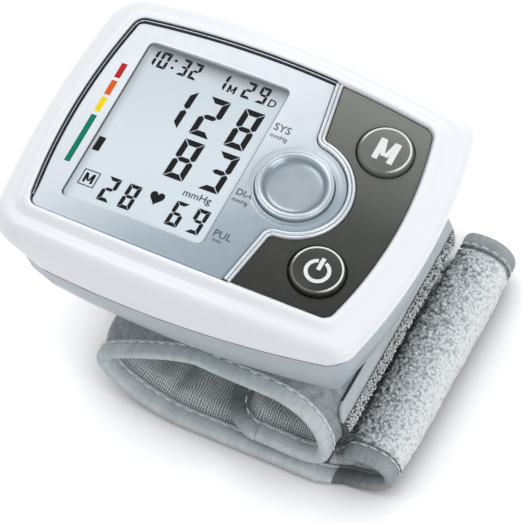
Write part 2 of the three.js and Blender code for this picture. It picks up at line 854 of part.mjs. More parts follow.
function addDisplay() {
  const group = new THREE.Group();
  group.position.set(windowX, 0, faceZ(windowX));
  group.rotation.y = -windowSlope;
  part.add(group);
  const outline = windowOutline(lensLap);
  const flange = prism(outline, lensTop - lensThickness, lensTop);
  const raised = prism(windowOutline(-lensInset), lensTop - lensThickness, -lensSink);
  add("display_window", join(flange, raised), clearPlastic, group);
  add("lcd_panel", prism(outline, glassLow, glassTop), displayGlass, group);
}

// Moves a solid made square to the face at the window to its place in the housing.
function toWindow(solid) {
  const degrees = THREE.MathUtils.radToDeg(-windowSlope);
  return solid.rotate([0, degrees, 0]).translate([windowX, 0, faceZ(windowX)]);
}

function addDisplayHolder() {
  const halfX = holderHalfX - holderWall;
  const halfY = windowHeight / 2 + lensLap + seatGap;
  const outerY = halfY + holderWall;
  const rimTop = -(plateThickness + deckThickness + 2 * seatGap + archDrop(holderHalfX));
  const floorTop = glassLow - seatGap;
  const floorLow = floorTop - holderFloor;
  const frame = prism(roundedRectangle(holderHalfX, outerY, windowCorner), floorLow, rimTop);
  const pocket = prism(roundedRectangle(halfX, halfY, windowCorner), floorTop, overrun);
  const slotHalf = ribbonWidth / 2 + seatGap;
  const slot = block(halfX - overrun, halfX + overrun, -slotHalf, slotHalf, floorTop, overrun);
  const tray = toWindow(cut(frame, pocket, slot));
  const postX = windowWidth / 2 - holderPostRadius;
  const postY = windowHeight / 2 - holderPostRadius;
  const middle = floorTop - holderFloor / 2;
  const above = block(-holderHalfX, holderHalfX, -outerY, outerY, middle, 2 * overrun);
  const posts = [-1, 1].flatMap((sx) =>
    [-1, 1].map((sy) => {
      const x = windowX + sx * postX;
      const post = disc(holderPostRadius, x, sy * postY, boardTop + seatGap, crownZ, 12);
      return cut(post, toWindow(above));
    }),
  );
  add("lcd_holder", join(tray, ...posts), natural);
}

// The flat cable from the glass to the board, a bent strip.
function addRibbon() {
  const reach = windowWidth / 2 + lensLap + seatGap;
  const sine = Math.sin(windowSlope);
  const startX = windowX + reach * Math.cos(windowSlope) - glassLow * sine;
  const startZ = faceZ(windowX) + reach * sine + (glassTop + glassLow) / 2;
  const endZ = boardTop + seatGap + ribbonThickness / 2;
  const curve = new THREE.CubicBezierCurve(
    new THREE.Vector2(startX, startZ),
    new THREE.Vector2(startX + ribbonReach * 2, startZ),
    new THREE.Vector2(startX + ribbonReach / 2, endZ),
    new THREE.Vector2(startX + ribbonReach * 2 + ribbonReach / 2, endZ),
  );
  const steps = 10;
  const side = (offset) =>
    Array.from({ length: steps + 1 }, (_, i) => {
      const at = curve.getPoint(i / steps);
      const along = curve.getTangent(i / steps);
      return new THREE.Vector2(at.x - along.y * offset, at.y + along.x * offset);
    });
  const half = ribbonThickness / 2;
  const profile = [...side(half), ...side(-half).reverse()];
  const strip = sidePrism(profile, -ribbonWidth / 2, ribbonWidth / 2);
  add("lcd_ribbon", strip, natural);
}

// Board and what stands on it

function addBoard() {
  const x0 = leftX + boardLeftMargin;
  const x1 = boardRight;
  const outline = roundedRectangle((x1 - x0) / 2, boardHalfWidth, boardCorner, (x0 + x1) / 2);
  const blank = prism(outline, boardZ, boardTop);
  const notches = caseScrews.map(([x, y]) => disc(tubeOuter + seatGap, x, y, floorZ, crownZ));
  add("circuit_board", cut(blank, ...notches), boardGreen);
  const half = chipSide / 2;
  const chip = prism(roundedRectangle(half, half, seatGap), 0, chipHeight);
  add("controller_chip", chip, blackPlastic).position.set(crownX + chipSide, 0, boardTop + seatGap);
}

// Buttons, each a cap with a flange and stem, over a switch with its plunger

function buttonCap() {
  const flangeRadius = buttonRadius + buttonFlange;
  const flangeTop = deckBottom(buttonX + flangeRadius) - seatGap;
  const flangeLow = flangeTop - flangeThickness;
  const stemLow = boardTop + seatGap + switchHeight + plungerReach + seatGap;
  const top = faceZ(buttonX) + buttonRise;
  const profile = [
    [0, stemLow],
    [stemRadius, stemLow],
    [stemRadius, flangeLow],
    [flangeRadius, flangeLow],
    [flangeRadius, flangeTop],
    [buttonRadius, flangeTop],
    [buttonRadius, top - buttonEdge],
    [buttonRadius - buttonEdge / 3, top - buttonEdge / 3],
    [buttonRadius - buttonEdge, top],
    [buttonRadius / 2, top + buttonDome * domeShare],
    [0, top + buttonDome],
  ];
  return turned(profile, 24);
}

function addButtons() {
  const boardSeat = boardTop + seatGap;
  const switchTop = boardSeat + switchHeight;
  const half = switchSide / 2;
  const well = disc(plungerRadius + seatGap, 0, 0, switchHeight - switchWell, overrun, 16);
  const body = cut(block(-half, half, -half, half, 0, switchHeight), well);
  for (const [name, y] of buttonPlaces) {
    add(`${name}_button`, buttonCap(), darkPanel).position.set(buttonX, y, 0);
    add(`${name}_switch`, body, blackPlastic).position.set(buttonX, y, boardSeat);
    const plunger = disc(plungerRadius, 0, 0, -plungerReach, plungerReach, 16);
    add(`${name}_switch_plunger`, plunger, natural).position.set(buttonX, y, switchTop);
  }
}

// Cells and contacts

function cell() {
  const round = nubLength / 2;
  const half = (cellLength + nubLength) / 2;
  return turned([
    [0, -half],
    [cellRadius - round, -half],
    [cellRadius, -half + round],
    [cellRadius, half - nubLength - round],
    [cellRadius - round, half - nubLength],
    [nubRadius, half - nubLength],
    [nubRadius, half],
    [0, half],
  ], 20);
}

function addCells() {
  const outer = add("battery_outer", cell(), cellJacket);
  outer.position.set(outerCellX, 0, cellZ);
  outer.rotation.x = -Math.PI / 2;
  const inner = add("battery_inner", cell(), cellJacket);
  inner.position.set(innerCellX, 0, cellZ);
  inner.rotation.x = Math.PI / 2;
}

// A conical spring from a contact plate at y = 0 towards +Y, on the axis x, z = 0.
function contactSpring(length) {
  const steps = springTurns * 8;
  const points = Array.from({ length: steps + 1 }, (_, i) => {
    const share = i / steps;
    const angle = share * springTurns * 2 * Math.PI;
    const radius = springRadius * (1 - share / 2);
    const y = springWire + share * (length - 2 * springWire);
    return new THREE.Vector3(radius * Math.cos(angle), y, radius * Math.sin(angle));
  });
  const curve = new THREE.CatmullRomCurve3(points);
  const [x0, x1] = [springRadius - springWire, springRadius + springWire];
  const root = block(x0, x1, -contactThickness / 2, springWire, -springWire, springWire);
  return join(tubeAlong(curve, springWire, 0, steps, 4), root);
}

function contactPlate(x0, x1) {
  const half = contactHeight / 2;
  return block(x0, x1, -contactThickness, 0, -half, half);
}

function addContacts() {
  const reach = bayEnd - contactThickness - 2 * seatGap;
  const plateHalf = springRadius + 2 * springWire;
  const button = (x) => rodAlongY(nubRadius, x, 0, -contactThickness / 2, reach, 16);
  const spring = (x) => contactSpring(reach).translate([x, 0, 0]);
  const pitch = cellPitch / 2;
  const frontY = -bayHalf + seatGap + contactThickness;
  const longPlate = contactPlate(-pitch - plateHalf, pitch + plateHalf);
  const bridge = add("contact_bridge", join(longPlate, spring(-pitch), button(pitch)), steel);
  bridge.position.set((outerCellX + innerCellX) / 2, frontY, cellZ);
  const single = (name, x, tip) => {
    const mesh = add(name, join(contactPlate(-plateHalf, plateHalf), tip), steel);
    mesh.position.set(x, -frontY, cellZ);
    mesh.rotation.z = Math.PI;
  };
  single("contact_negative", innerCellX, spring(0));
  single("contact_positive", outerCellX, button(0));
}

// Pump, valve, sensor, manifold and tubes

const pumpY = motorFrontY + motorLength + seatGap;
const pumpNippleY = pumpY + pumpLength;
const manifoldTop = manifoldZ + manifoldHeight;
const sensorZ = boardZ - seatGap - sensorHeight;
const sensorPortZ = sensorZ + sensorHeight / 2;
const valveFaceY = manifoldY - manifoldRadius - 3 * seatGap;

function addMotor() {
  const end = motorLength / 2;
  const shoulder = motorRadius - motorShoulder;
  const can = turned([
    [0, -end],
    [shoulder, -end],
    [motorRadius, -end + motorShoulder],
    [motorRadius, end],
    [shaftRadius, end],
    [0, end],
  ]);
  const flats = motorRadius * motorFlatShare;
  const sides = block(-flats, flats, -motorRadius, motorRadius, -end, end);
  const motor = add("pump_motor", common(can, sides), steel);
  motor.position.set(motorX, motorFrontY + end, motorZ);
  motor.rotation.x = -Math.PI / 2;
}

function addPumpHead() {
  const radius = motorRadius;
  const lidRadius = radius - motorShoulder;
  const half = pumpLength / 2;
  const body = prism(roundedRectangle(radius, radius, pumpCorner), -half, half);
  const lidOutline = roundedRectangle(lidRadius, lidRadius, pumpCorner);
  const lid = prism(lidOutline, half - seatGap, half + motorShoulder);
  const nipple = disc(nippleRadius, 0, 0, half, half + motorShoulder + stubLength, 12);
  const head = add("pump_head", join(body, lid, nipple), natural);
  head.position.set(motorX, pumpY + half, motorZ);
  head.rotation.x = -Math.PI / 2;
}

function addManifold() {
  const upright = (z0, z1) => disc(nippleRadius, manifoldX, manifoldY, z0, z1, 12);
  const level = (y0, y1) => rodAlongY(nippleRadius, manifoldX, motorZ, y0, y1, 12);
  const body = join(
    disc(manifoldRadius, manifoldX, manifoldY, manifoldZ, manifoldTop, 20),
    upright(manifoldZ - nippleLength / 2, manifoldZ + seatGap),
    upright(manifoldTop - seatGap, manifoldTop + stubLength),
    level(manifoldY, manifoldY + manifoldRadius + nippleLength / 2),
    level(valveFaceY - valveSocket + seatGap, manifoldY),
  );
  add("air_manifold", body, natural);
}

function addValve() {
  const half = valveWidth / 2;
  const low = floorZ + seatGap;
  const top = sensorPortZ - sensorTubeRadius - seatGap;
  const backY = valveFaceY - valveLength;
  const along = (radius, z, y0, y1) => rodAlongY(radius, manifoldX, z, y0, y1, 16);
  const box = block(manifoldX - half, manifoldX + half, backY, valveFaceY, low, top);
  const [socketY, farY] = [valveFaceY - valveSocket, valveFaceY + overrun];
  const socket = along(nippleRadius + seatGap, motorZ, socketY, farY);
  const capRadius = Math.min(half, (top - low) / 2) - motorShoulder;
  const cap = along(capRadius, (low + top) / 2, backY - motorShoulder, backY + seatGap);
  add("release_valve", join(cut(box, socket), cap), blackPlastic);
}

function addSensor() {
  const half = sensorSide / 2;
  const [x0, x1] = [manifoldX - half, manifoldX + half];
  const faceY = sensorY + half;
  const body = block(x0, x1, sensorY - half, faceY, sensorZ, boardZ - seatGap);
  const tip = faceY + nippleLength;
  const port = rodAlongY(nippleRadius, manifoldX, sensorPortZ, faceY - seatGap, tip, 12);
  add("pressure_sensor", join(body, port), blackPlastic);
}

function addTubes() {
  const start = pumpNippleY + motorShoulder + seatGap;
  const end = manifoldY + manifoldRadius + seatGap;
  const pumpRoute = new THREE.CubicBezierCurve3(
    new THREE.Vector3(motorX, start, motorZ),
    new THREE.Vector3(motorX, start + tubeSwing, motorZ),
    new THREE.Vector3(manifoldX, start + tubeSwing, motorZ),
    new THREE.Vector3(manifoldX, end, motorZ),
  );
  add("pump_tube", tubeAlong(pumpRoute, tubeRadius, tubeBore, 10), softTube);
  const sensorEnd = sensorY + sensorSide / 2 + seatGap;
  const sensorRoute = new THREE.CubicBezierCurve3(
    new THREE.Vector3(manifoldX, manifoldY, manifoldTop + seatGap),
    new THREE.Vector3(manifoldX, manifoldY, sensorPortZ - seatGap),
    new THREE.Vector3(manifoldX, manifoldY - seatGap, sensorPortZ),
    new THREE.Vector3(manifoldX, sensorEnd, sensorPortZ),
  );
  add("sensor_tube", tubeAlong(sensorRoute, sensorTubeRadius, tubeBore, 8), softTube);
  const low = cuffNippleTop - nippleLength / 2;
  const riser = new THREE.LineCurve3(
    new THREE.Vector3(manifoldX, manifoldY, low),
    new THREE.Vector3(manifoldX, manifoldY, manifoldZ - seatGap),
  );
  add("cuff_tube", tubeAlong(riser, tubeRadius, tubeBore, 1), softTube);
}

// Screws

function screw(headRadius, shankLength) {
  const shaft = turned([
    [0, -screwSink],
    [headRadius * screwTopShare, -screwSink],
    [headRadius, 0],
    [headRadius, screwHeadHeight - screwSink],
    [screwShank, screwHeadHeight - screwSink],
    [screwShank, shankLength - screwShank],
    [0, shankLength],
  ], 10);
  const arm = headRadius * crossShare;
  const half = crossWidth / 2;
  const deep = crossDepth - screwSink;
  const slots = [
    block(-arm, arm, -half, half, -overrun, deep),
    block(-half, half, -arm, arm, -overrun, deep),
  ];
  return cut(shaft, ...slots);
}

function addCaseScrews() {
  const headLow = undersideZ + 2 * screwSink;
  const names = ["front", "back", "end"];
  caseScrews.forEach(([x, y], i) => {
    const length = deckBottom(x) - 3 * seatGap - headLow;
    add(`case_screw_${names[i]}`, screw(screwHead, length), steel).position.set(x, y, headLow);
  });
}

// Cuff: the run of the band in the plane of its loop

// Knots of the run, as shares of the loop's width and height.
const innerEndShare = 0.52;
const lowerRightShare = 0.81;
const rightKneeShare = 0.434;
const rightShoulderShares = [0.7, 0.9];
const seatRightShare = 0.75;
const seatLeftShare = 0.43;
const leftShoulderShares = [0.36, 0.015, 0.535];
const leftKneeShare = 0.41;
const leftHeelShares = [-0.011, 0.245, 0.17];
const groundLeftShare = 0.36;
const groundRightShare = 0.95;
const lowerBendShares = [0.95, 0.1];
const tailTurnShares = [0.4, 0.2];
const archTopShare = 0.44;
const archRightShares = [0.82, 0.2];
const archLeftShares = [0.65, 0.95];
const creaseShare = 0.76;

const loopX = (share) => -loopLeft + share * (loopLeft + loopRight);
const loopZ = (share) => share * loopHeight;
const overlapZ = bandDepth + seatGap + tapeThickness / 3;
const tailRoot = loopX(1) + 2 * tapeThickness + tailThickness;
const tailSpan = tailReach - loopX(1);
const creaseX = loopX(1) + hookThickness + 3 * seatGap;

function line(x0, z0, x1, z1) {
  return new THREE.LineCurve(new THREE.Vector2(x0, z0), new THREE.Vector2(x1, z1));
}

function bend(x0, z0, x1, z1, x2, z2, x3, z3) {
  return new THREE.CubicBezierCurve(
    new THREE.Vector2(x0, z0),
    new THREE.Vector2(x1, z1),
    new THREE.Vector2(x2, z2),
    new THREE.Vector2(x3, z3),
  );
}

// The outside of the band, from its inner end round the loop and out along the tail.
const runs = {
  innerEnd: line(loopX(innerEndShare), overlapZ, loopX(lowerRightShare), overlapZ),
  lowerRight: bend(
    loopX(lowerRightShare), overlapZ,
    loopX(lowerBendShares[0]), overlapZ,
    loopX(1), overlapZ + loopZ(lowerBendShares[1]),
    loopX(1), loopZ(rightKneeShare),
  ),
  rightSide: bend(
    loopX(1), loopZ(rightKneeShare),
    loopX(1), loopZ(rightShoulderShares[0]),
    loopX(rightShoulderShares[1]), loopZ(1),
    loopX(seatRightShare), loopZ(1),
  ),
  seat: line(loopX(seatRightShare), loopZ(1), loopX(seatLeftShare), loopZ(1)),
  leftShoulder: bend(
    loopX(seatLeftShare), loopZ(1),
    loopX(leftShoulderShares[0]), loopZ(1),
    loopX(leftShoulderShares[1]), loopZ(leftShoulderShares[2]),
    loopX(0), loopZ(leftKneeShare),
  ),
  leftHeel: bend(
    loopX(0), loopZ(leftKneeShare),
    loopX(leftHeelShares[0]), loopZ(leftHeelShares[1]),
    loopX(leftHeelShares[2]), 0,
    loopX(groundLeftShare), 0,
  ),
  ground: line(loopX(groundLeftShare), 0, loopX(groundRightShare), 0),
  tailBase: line(loopX(groundRightShare), 0, tailRoot, 0),
  tailTurn: bend(
    tailRoot, 0,
    tailRoot + tailSpan * tailTurnShares[0], 0,
    tailReach, tailHeight * tailTurnShares[1],
    tailReach, tailHeight / 2,
  ),
  archRight: bend(
    tailReach, tailHeight / 2,
    tailReach, tailHeight * archRightShares[0],
    tailReach - tailSpan * archRightShares[1], tailHeight,
    tailReach - tailSpan * archTopShare, tailHeight,
  ),
  archLeft: bend(
    tailReach - tailSpan * archTopShare, tailHeight,
    tailReach - tailSpan * archLeftShares[0], tailHeight,
    creaseX + seatGap, tailHeight * archLeftShares[1],
    creaseX, tailHeight * creaseShare,
  ),
};

// How far each run's start and end lie behind the front rim, and its number of steps.
const runSkews = {
  innerEnd: [0, 0, 1],
  lowerRight: [0, 0, 7],
  rightSide: [0, 0, 8],
  seat: [0, 0, 2],
  leftShoulder: [0, 0, 8],
  leftHeel: [0, bottomSkew, 9],
  ground: [bottomSkew, bottomSkew / 2, 3],
  tailBase: [bottomSkew / 2, tailSkew / 2, 2],
  tailTurn: [tailSkew / 2, tailSkew, 6],
  archRight: [tailSkew, tailSkew, 6],
  archLeft: [tailSkew, tailSkew, 6],
};

// A station at a share of a run: place, inward direction and skew.
function stationOn(name, share) {
  const [skew0, skew1] = runSkews[name];
  const at = runs[name].getPoint(share);
  const along = runs[name].getTangent(share);
  const skew = skew0 + (skew1 - skew0) * share;
  return { x: at.x, z: at.y, nx: -along.y, nz: along.x, skew, name, share };
}

function stationsOf(names) {
  return names.flatMap((name, n) => {
    const steps = runSkews[name][2];
    const shares = Array.from({ length: steps + 1 }, (_, i) => i / steps);
    return shares.slice(n ? 1 : 0).map((share) => stationOn(name, share));
  });
}

// Stations of the flat run that ends the band, each with its distance from that end.
const endRunLength = loopX(lowerRightShare) - loopX(innerEndShare);

function endStations(distances) {
  return distances.map((fromEnd) => {
    const station = stationOn("innerEnd", fromEnd / endRunLength);
    return { ...station, fromEnd };
  });
}

const loopRuns = ["lowerRight", "rightSide", "seat", "leftShoulder", "leftHeel", "ground"];
const baseRuns = ["tailBase", "tailTurn"];
const flapRuns = ["archRight", "archLeft"];

const rimInset = tapeThickness + seatGap;
const tapeFoot = tapeWidth + seatGap; // from the rim to where the padding comes out of its tape

// Depth of a point of the padding, pinched thin under the tape at the rims.
function pinched(depth, fromRim) {
  const rise = THREE.MathUtils.clamp((fromRim - tapeFoot) / tapeRamp, 0, 1);
  const low = tapeRebate + depth * pinchShare;
  return low + (depth - low) * rise;
}

// How far in from the rim a line at a level from the band's edge runs, its corners round.
function edgeInset(level, fromEnd) {
  if (fromEnd >= endRound) return level;
  const side = (endRound - level) ** 2 - (endRound - fromEnd) ** 2;
  return endRound - Math.sqrt(Math.max(side, 0));
}

// Distance of a place of the band from its rounded edge.
function fromEdge(y, fromEnd) {
  const across = Math.max(endRound - Math.min(y, bandWidth - y), 0);
  return endRound - Math.hypot(across, Math.max(endRound - fromEnd, 0));
}

// Places across the band, from the front rim, for a layer with its edge at a margin.
function crossPlaces(margin, fromEnd) {
  const levels = margin < tapeWidth ? [margin, tapeFoot, tapeFoot + tapeRamp] : [margin];
  const first = edgeInset(margin, fromEnd);
  const left = levels.map((level, i) => Math.max(edgeInset(level, fromEnd), first + i * seatGap));
  return [...left, bandWidth / 2, ...left.map((y) => bandWidth - y).reverse()];
}

// Point of the band at a station, y from the front rim and a depth inwards.
function bandPoint(station, y, depth) {
  return new THREE.Vector3(
    station.x + station.nx * depth,
    bandNearY + station.skew + y,
    station.z + station.nz * depth,
  );
}

// A layer of the band between two depths, over some stations.
function layer(stations, margin, outer, inner) {
  const rings = stations.map((station) => {
    const { fromEnd = endRound } = station;
    const places = crossPlaces(margin, fromEnd);
    const low = (y) => bandPoint(station, y, pinched(outer(station), fromEdge(y, fromEnd)));
    const high = (y) => bandPoint(station, y, pinched(inner(station), fromEdge(y, fromEnd)));
    return [...places.map(low), ...[...places].reverse().map(high)];
  });
  return loft(rings, stripQuads(rings[0].length));
}

// Depth of all that the tape holds: the whole band round the loop, one layer in the tail.
function stackDepth({ name, share }) {
  if (flapRuns.includes(name)) return tailThickness;
  if (name === "tailBase") return share === 0 ? bandDepth : tailThickness;
  return baseRuns.includes(name) ? tailThickness : bandDepth;
}

function paddingDepth({ name }) {
  return [...baseRuns, ...flapRuns].includes(name) ? tailThickness : fabricThickness;
}

// Points round the tape's section, given as distance in from the edge and depth.
function tapeSection(depth) {
  const inner = tapeRebate + depth * pinchShare + seatGap;
  return [
    [tapeWidth, 0],
    [0, 0],
    [0, inner + tapeThickness],
    [tapeWidth, inner + tapeThickness],
    [tapeWidth, inner],
    [tapeThickness, inner],
    [tapeThickness, tapeThickness],
    [tapeWidth, tapeThickness],
  ];
}

const tapeQuads = [
  [0, 1, 6, 7],
  [1, 2, 5, 6],
  [2, 3, 4, 5],
];

// Binding tape folded round one rim. side is 1 at the front rim and -1 at the back one.
function binding(stations, side) {
  const y = (inset) => (side > 0 ? inset : bandWidth - inset);
  const rings = stations.map((station) =>
    tapeSection(stackDepth(station)).map(([inset, depth]) => bandPoint(station, y(inset), depth)),
  );
  return loft(rings, tapeQuads);
}

const cuffNippleTop = floorZ + nippleLength + seatGap;

function clampScrewPlaces() {
  const left = loopX(seatLeftShare) + clampMargin + clampScrewInset;
  const right = loopX(seatRightShare) - clampMargin - clampScrewInset;
  const side = clampHalfWidth - clampScrewInset;
  return [left, right].flatMap((x) => [-side, side].map((y) => [x, y]));
}

function clampSpace(clearance) {
  return block(
    loopX(seatLeftShare) + clampMargin - clearance,
    loopX(seatRightShare) - clampMargin + clearance,
    -clampHalfWidth - clearance,
    clampHalfWidth + clearance,
    loopHeight - clampDepth - clampThickness - clearance,
    loopHeight - clampDepth + clearance,
  );
}

function nippleBore(radius, z0, z1) {
  return disc(radius, manifoldX, manifoldY, z0, z1, 16);
}

function cuffStations(fromEnd) {
  return [...endStations(fromEnd), ...stationsOf([...loopRuns, ...baseRuns])];
}

function addOuterFabric(distances) {
  const bossTop = loopHeight - fabricThickness - seatGap;
  const bosses = clampHoles(clampBossRadius + seatGap, bossTop, undersideZ);
  const pocket = join(clampSpace(seatGap), clampSpace(seatGap).translate([0, 0, -seatGap]));
  const fabric = layer(cuffStations(distances), rimInset, () => 0, paddingDepth);
  const bore = nippleBore(nippleRadius + seatGap, loopHeight - bandDepth, loopHeight + overrun);
  add("cuff_outer_fabric", cut(fabric, pocket, bore, ...bosses), outerCloth);
}

function addStiffener() {
  const top = fabricThickness + seatGap;
  const stations = stationsOf(["lowerRight", "rightSide", "seat", "leftShoulder"]);
  const sheet = layer(stations, stiffenerMargin, () => top, () => top + stiffenerThickness);
  const bore = nippleBore(nippleRadius + seatGap, loopHeight - bandDepth - overrun, loopHeight);
  add("cuff_stiffener", cut(sheet, bore), natural);
}

function addBladder() {
  const top = fabricThickness + stiffenerThickness + 2 * seatGap;
  const stations = stationsOf(["rightSide", "seat", "leftShoulder"]);
  const bag = layer(stations, bladderMargin, () => top, () => top + bladderThickness);
  const root = loopHeight - top - bladderThickness / 2;
  add("cuff_bladder", join(bag, nippleBore(nippleRadius, root, cuffNippleTop)), rubber);
}

function addCuff() {
  const distances = [rimInset, 2 * rimInset, tapeFoot, tapeFoot + tapeRamp, endRound, endRunLength];
  addOuterFabric(distances);
  addStiffener();
  addBladder();
  const liningStations = [...endStations(distances), ...stationsOf(loopRuns)];
  const lining = layer(liningStations, rimInset, () => liningDepth, () => bandDepth);
  add("cuff_lining", lining, liningCloth);
  const taped = cuffStations([endRound + seatGap, endRunLength]);
  add("cuff_front_binding", binding(taped, 1), tapeCloth);
  add("cuff_back_binding", binding(taped, -1), tapeCloth);
}

function addClampPlate() {
  const top = loopHeight - clampDepth;
  let plate = clampSpace(0);
  for (const [x, y] of clampScrewPlaces()) {
    plate = join(plate, disc(clampBossRadius, x, y, top - clampThickness / 2, floorZ, 16));
    plate = cut(plate, disc(screwShank + seatGap, x, y, top, floorZ + overrun, 12));
  }
  plate = cut(plate, nippleBore(nippleRadius + seatGap, top - overrun, top + overrun));
  add("cuff_clamp_plate", plate, natural);
  clampScrewPlaces().forEach(([x, y], i) => {
    const place = `clamp_screw_${i < 2 ? "left" : "right"}_${i % 2 ? "back" : "front"}`;
    const mesh = add(place, screw(clampScrewHead, clampScrewLength - screwSink), steel);
    mesh.position.set(x, y, floorZ + seatGap + screwHeadHeight - screwSink);
    mesh.rotation.x = Math.PI;
  });
}

// The tape across the band's inner end: round one corner, straight across, round the other.
function addInnerEndBinding() {
  const cornerSteps = 7;
  const endX = loopX(innerEndShare);
  const path = [];
  for (let i = 0; i <= cornerSteps; i += 1) {
    const angle = (i / cornerSteps) * (Math.PI / 2);
    path.push([Math.sin(angle), -Math.cos(angle)]);
  }
  const sides = [...path, ...[...path].reverse().map(([x, y]) => [x, -y])];
  const rings = sides.map(([outX, outY], i) => {
    const centreY = bandNearY + (i > cornerSteps ? bandWidth - endRound : endRound);
    return tapeSection(bandDepth).map(([inset, depth]) => {
      const radius = endRound - inset;
      const x = endX + endRound - radius * outX;
      return new THREE.Vector3(x, centreY + radius * outY, overlapZ + depth);
    });
  });
  add("inner_end_binding", loft(rings, tapeQuads), tapeCloth);
}

// The tail beyond its right fold, which lifts off to open the cuff

function addTail() {
  const [, ...others] = stationsOf(flapRuns);
  const first = stationOn("archRight", seatGap / (tailHeight / 2));
  const stations = [first, ...others];
  add("tail_flap", layer(stations, rimInset, () => 0, () => tailThickness), loopPile);
  add("tail_front_binding", binding(stations, 1), tapeCloth);
  add("tail_back_binding", binding(stations, -1), tapeCloth);
  addHookStrip();
}

// The strip of hooks that runs up the right side of the loop from the tail's crease.
function addHookStrip() {
  const steps = 8;
  const y0 = rimInset + tailSkew + tapeWidth;
  const y1 = bandWidth + tailSkew - rimInset - tapeWidth;
  const rings = Array.from({ length: steps + 1 }, (_, i) => {
    const station = stationOn("rightSide", (i / steps) * hookTopShare);
    const corners = [
      [y0, seatGap],
      [y1, seatGap],
      [y1, seatGap + hookThickness],
      [y0, seatGap + hookThickness],
    ];
    return corners.map(([y, out]) => bandPoint(station, y, -out));
  });
  add("hook_strip", loft(rings, stripQuads(rings[0].length)), tapeCloth);
}

addTopShell();
addBottomShell();
addBatteryDoor();
addFaceplate();
addButtonPanel();
addDividerTrim();
addMedallion();
addDisplay();
addDisplayHolder();
addRibbon();
addBoard();
addButtons();
addCells();
addContacts();
addMotor();
addPumpHead();
addManifold();
addValve();
addSensor();
addTubes();
addCaseScrews();
addCuff();
addClampPlate();
addInnerEndBinding();
addTail();

// The part stands on the table with its origin under the middle of its box.
const box = new THREE.Box3().setFromObject(part);
part.position.set(-(box.min.x + box.max.x) / 2, -(box.min.y + box.max.y) / 2, -box.min.z);

export default part;
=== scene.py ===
import json
import math

import bpy
import numpy as np
from mathutils import Matrix, Vector
from mathutils.geometry import delaunay_2d_cdt

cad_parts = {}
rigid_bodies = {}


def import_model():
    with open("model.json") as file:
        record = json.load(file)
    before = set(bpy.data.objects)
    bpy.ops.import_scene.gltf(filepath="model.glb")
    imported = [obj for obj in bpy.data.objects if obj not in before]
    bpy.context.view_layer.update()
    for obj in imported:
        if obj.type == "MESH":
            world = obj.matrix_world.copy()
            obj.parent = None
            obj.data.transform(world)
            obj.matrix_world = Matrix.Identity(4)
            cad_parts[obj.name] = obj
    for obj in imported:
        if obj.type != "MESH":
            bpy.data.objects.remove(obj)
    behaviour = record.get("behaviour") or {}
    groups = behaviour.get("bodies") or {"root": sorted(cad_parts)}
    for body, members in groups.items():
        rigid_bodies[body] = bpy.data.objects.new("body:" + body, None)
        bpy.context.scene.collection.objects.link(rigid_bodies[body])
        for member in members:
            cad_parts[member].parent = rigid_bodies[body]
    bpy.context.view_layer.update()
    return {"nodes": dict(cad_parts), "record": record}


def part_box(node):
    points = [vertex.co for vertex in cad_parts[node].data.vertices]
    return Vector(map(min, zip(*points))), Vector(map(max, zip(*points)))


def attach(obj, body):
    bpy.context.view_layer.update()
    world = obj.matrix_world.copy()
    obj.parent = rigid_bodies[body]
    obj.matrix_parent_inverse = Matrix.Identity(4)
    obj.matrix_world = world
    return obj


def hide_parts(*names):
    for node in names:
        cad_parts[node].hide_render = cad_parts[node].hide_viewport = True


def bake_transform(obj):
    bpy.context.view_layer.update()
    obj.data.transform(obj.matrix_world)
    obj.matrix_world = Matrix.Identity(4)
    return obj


for leftover in list(bpy.data.objects):
    bpy.data.objects.remove(leftover)

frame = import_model()

HOUSING = "cuffed_housing"
MM = 0.001
QUARTER = math.pi / 2
TINY = 1e-12
CROWN_X = 13.1

# The housing's own millimetres, from its middle, to the row frame.
medallion_low, medallion_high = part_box("centre_medallion")
SHIFT_X = (medallion_low.x + medallion_high.x) / 2 / MM - CROWN_X
SHIFT_Y = (medallion_low.y + medallion_high.y) / 2 / MM

# Sizes in millimetres.
CASE_WIDTH = 66.0
LEFT_X, RIGHT_X = -42.0, 42.0
FACE_RADIUS = 231.0
CROWN_Z = medallion_high.z / MM - 0.8
CASE_DEPTH = CROWN_Z - 28.4
PARTING_SHARE, PARTING_SLOPE = 0.41, 0.13
CASE_ROUNDS, CASE_BOWS = (12.0, 3.5), (3.0, 4.0, 3.3)
FLARE_ROUNDS, FLARE_BOWS = (5.5, 2.5), (2.2, 4.0, 2.8)
RECESS_ROUND, RECESS_BOWS = 1.8, (2.4, 3.4, 1.5)
RECESS_LEFT, RECESS_RIGHT = LEFT_X + 5.2, RIGHT_X - 6.0
LEAST_ROUND = 1.2
PLATE = 1.6
LIP = 0.8
RECESS_HALF = CASE_WIDTH / 2 - 6.9
WINDOW_X = -13.55
WINDOW_HALF = (15.95, 20.25)
WINDOW_CORNER = 1.2
BUTTON_X, BUTTON_Y = 25.8, 15.5

LOOP_LEFT, LOOP_RIGHT = 18.3, 35.4
LOOP_HEIGHT = 28.1
TAIL_REACH = 48.6
TAIL_HEIGHT = 11.5
BAND_WIDTH = 59.5
BAND_NEAR = -29.2
BAND_DEPTH = 4.3
END_ROUND = 9.0


def rng_hash(ix, iy, seed):
    h = np.sin(ix * 127.1 + iy * 311.7 + seed * 74.7) * 43758.5453
    return h - np.floor(h)


def value_noise(x, y, seed):
    ix, iy = np.floor(x), np.floor(y)
    fx, fy = x - ix, y - iy
    fx = fx * fx * (3 - 2 * fx)
    fy = fy * fy * (3 - 2 * fy)
    a, b = rng_hash(ix, iy, seed), rng_hash(ix + 1, iy, seed)
    c, d = rng_hash(ix, iy + 1, seed), rng_hash(ix + 1, iy + 1, seed)
    return (a + (b - a) * fx) * (1 - fy) + (c + (d - c) * fx) * fy


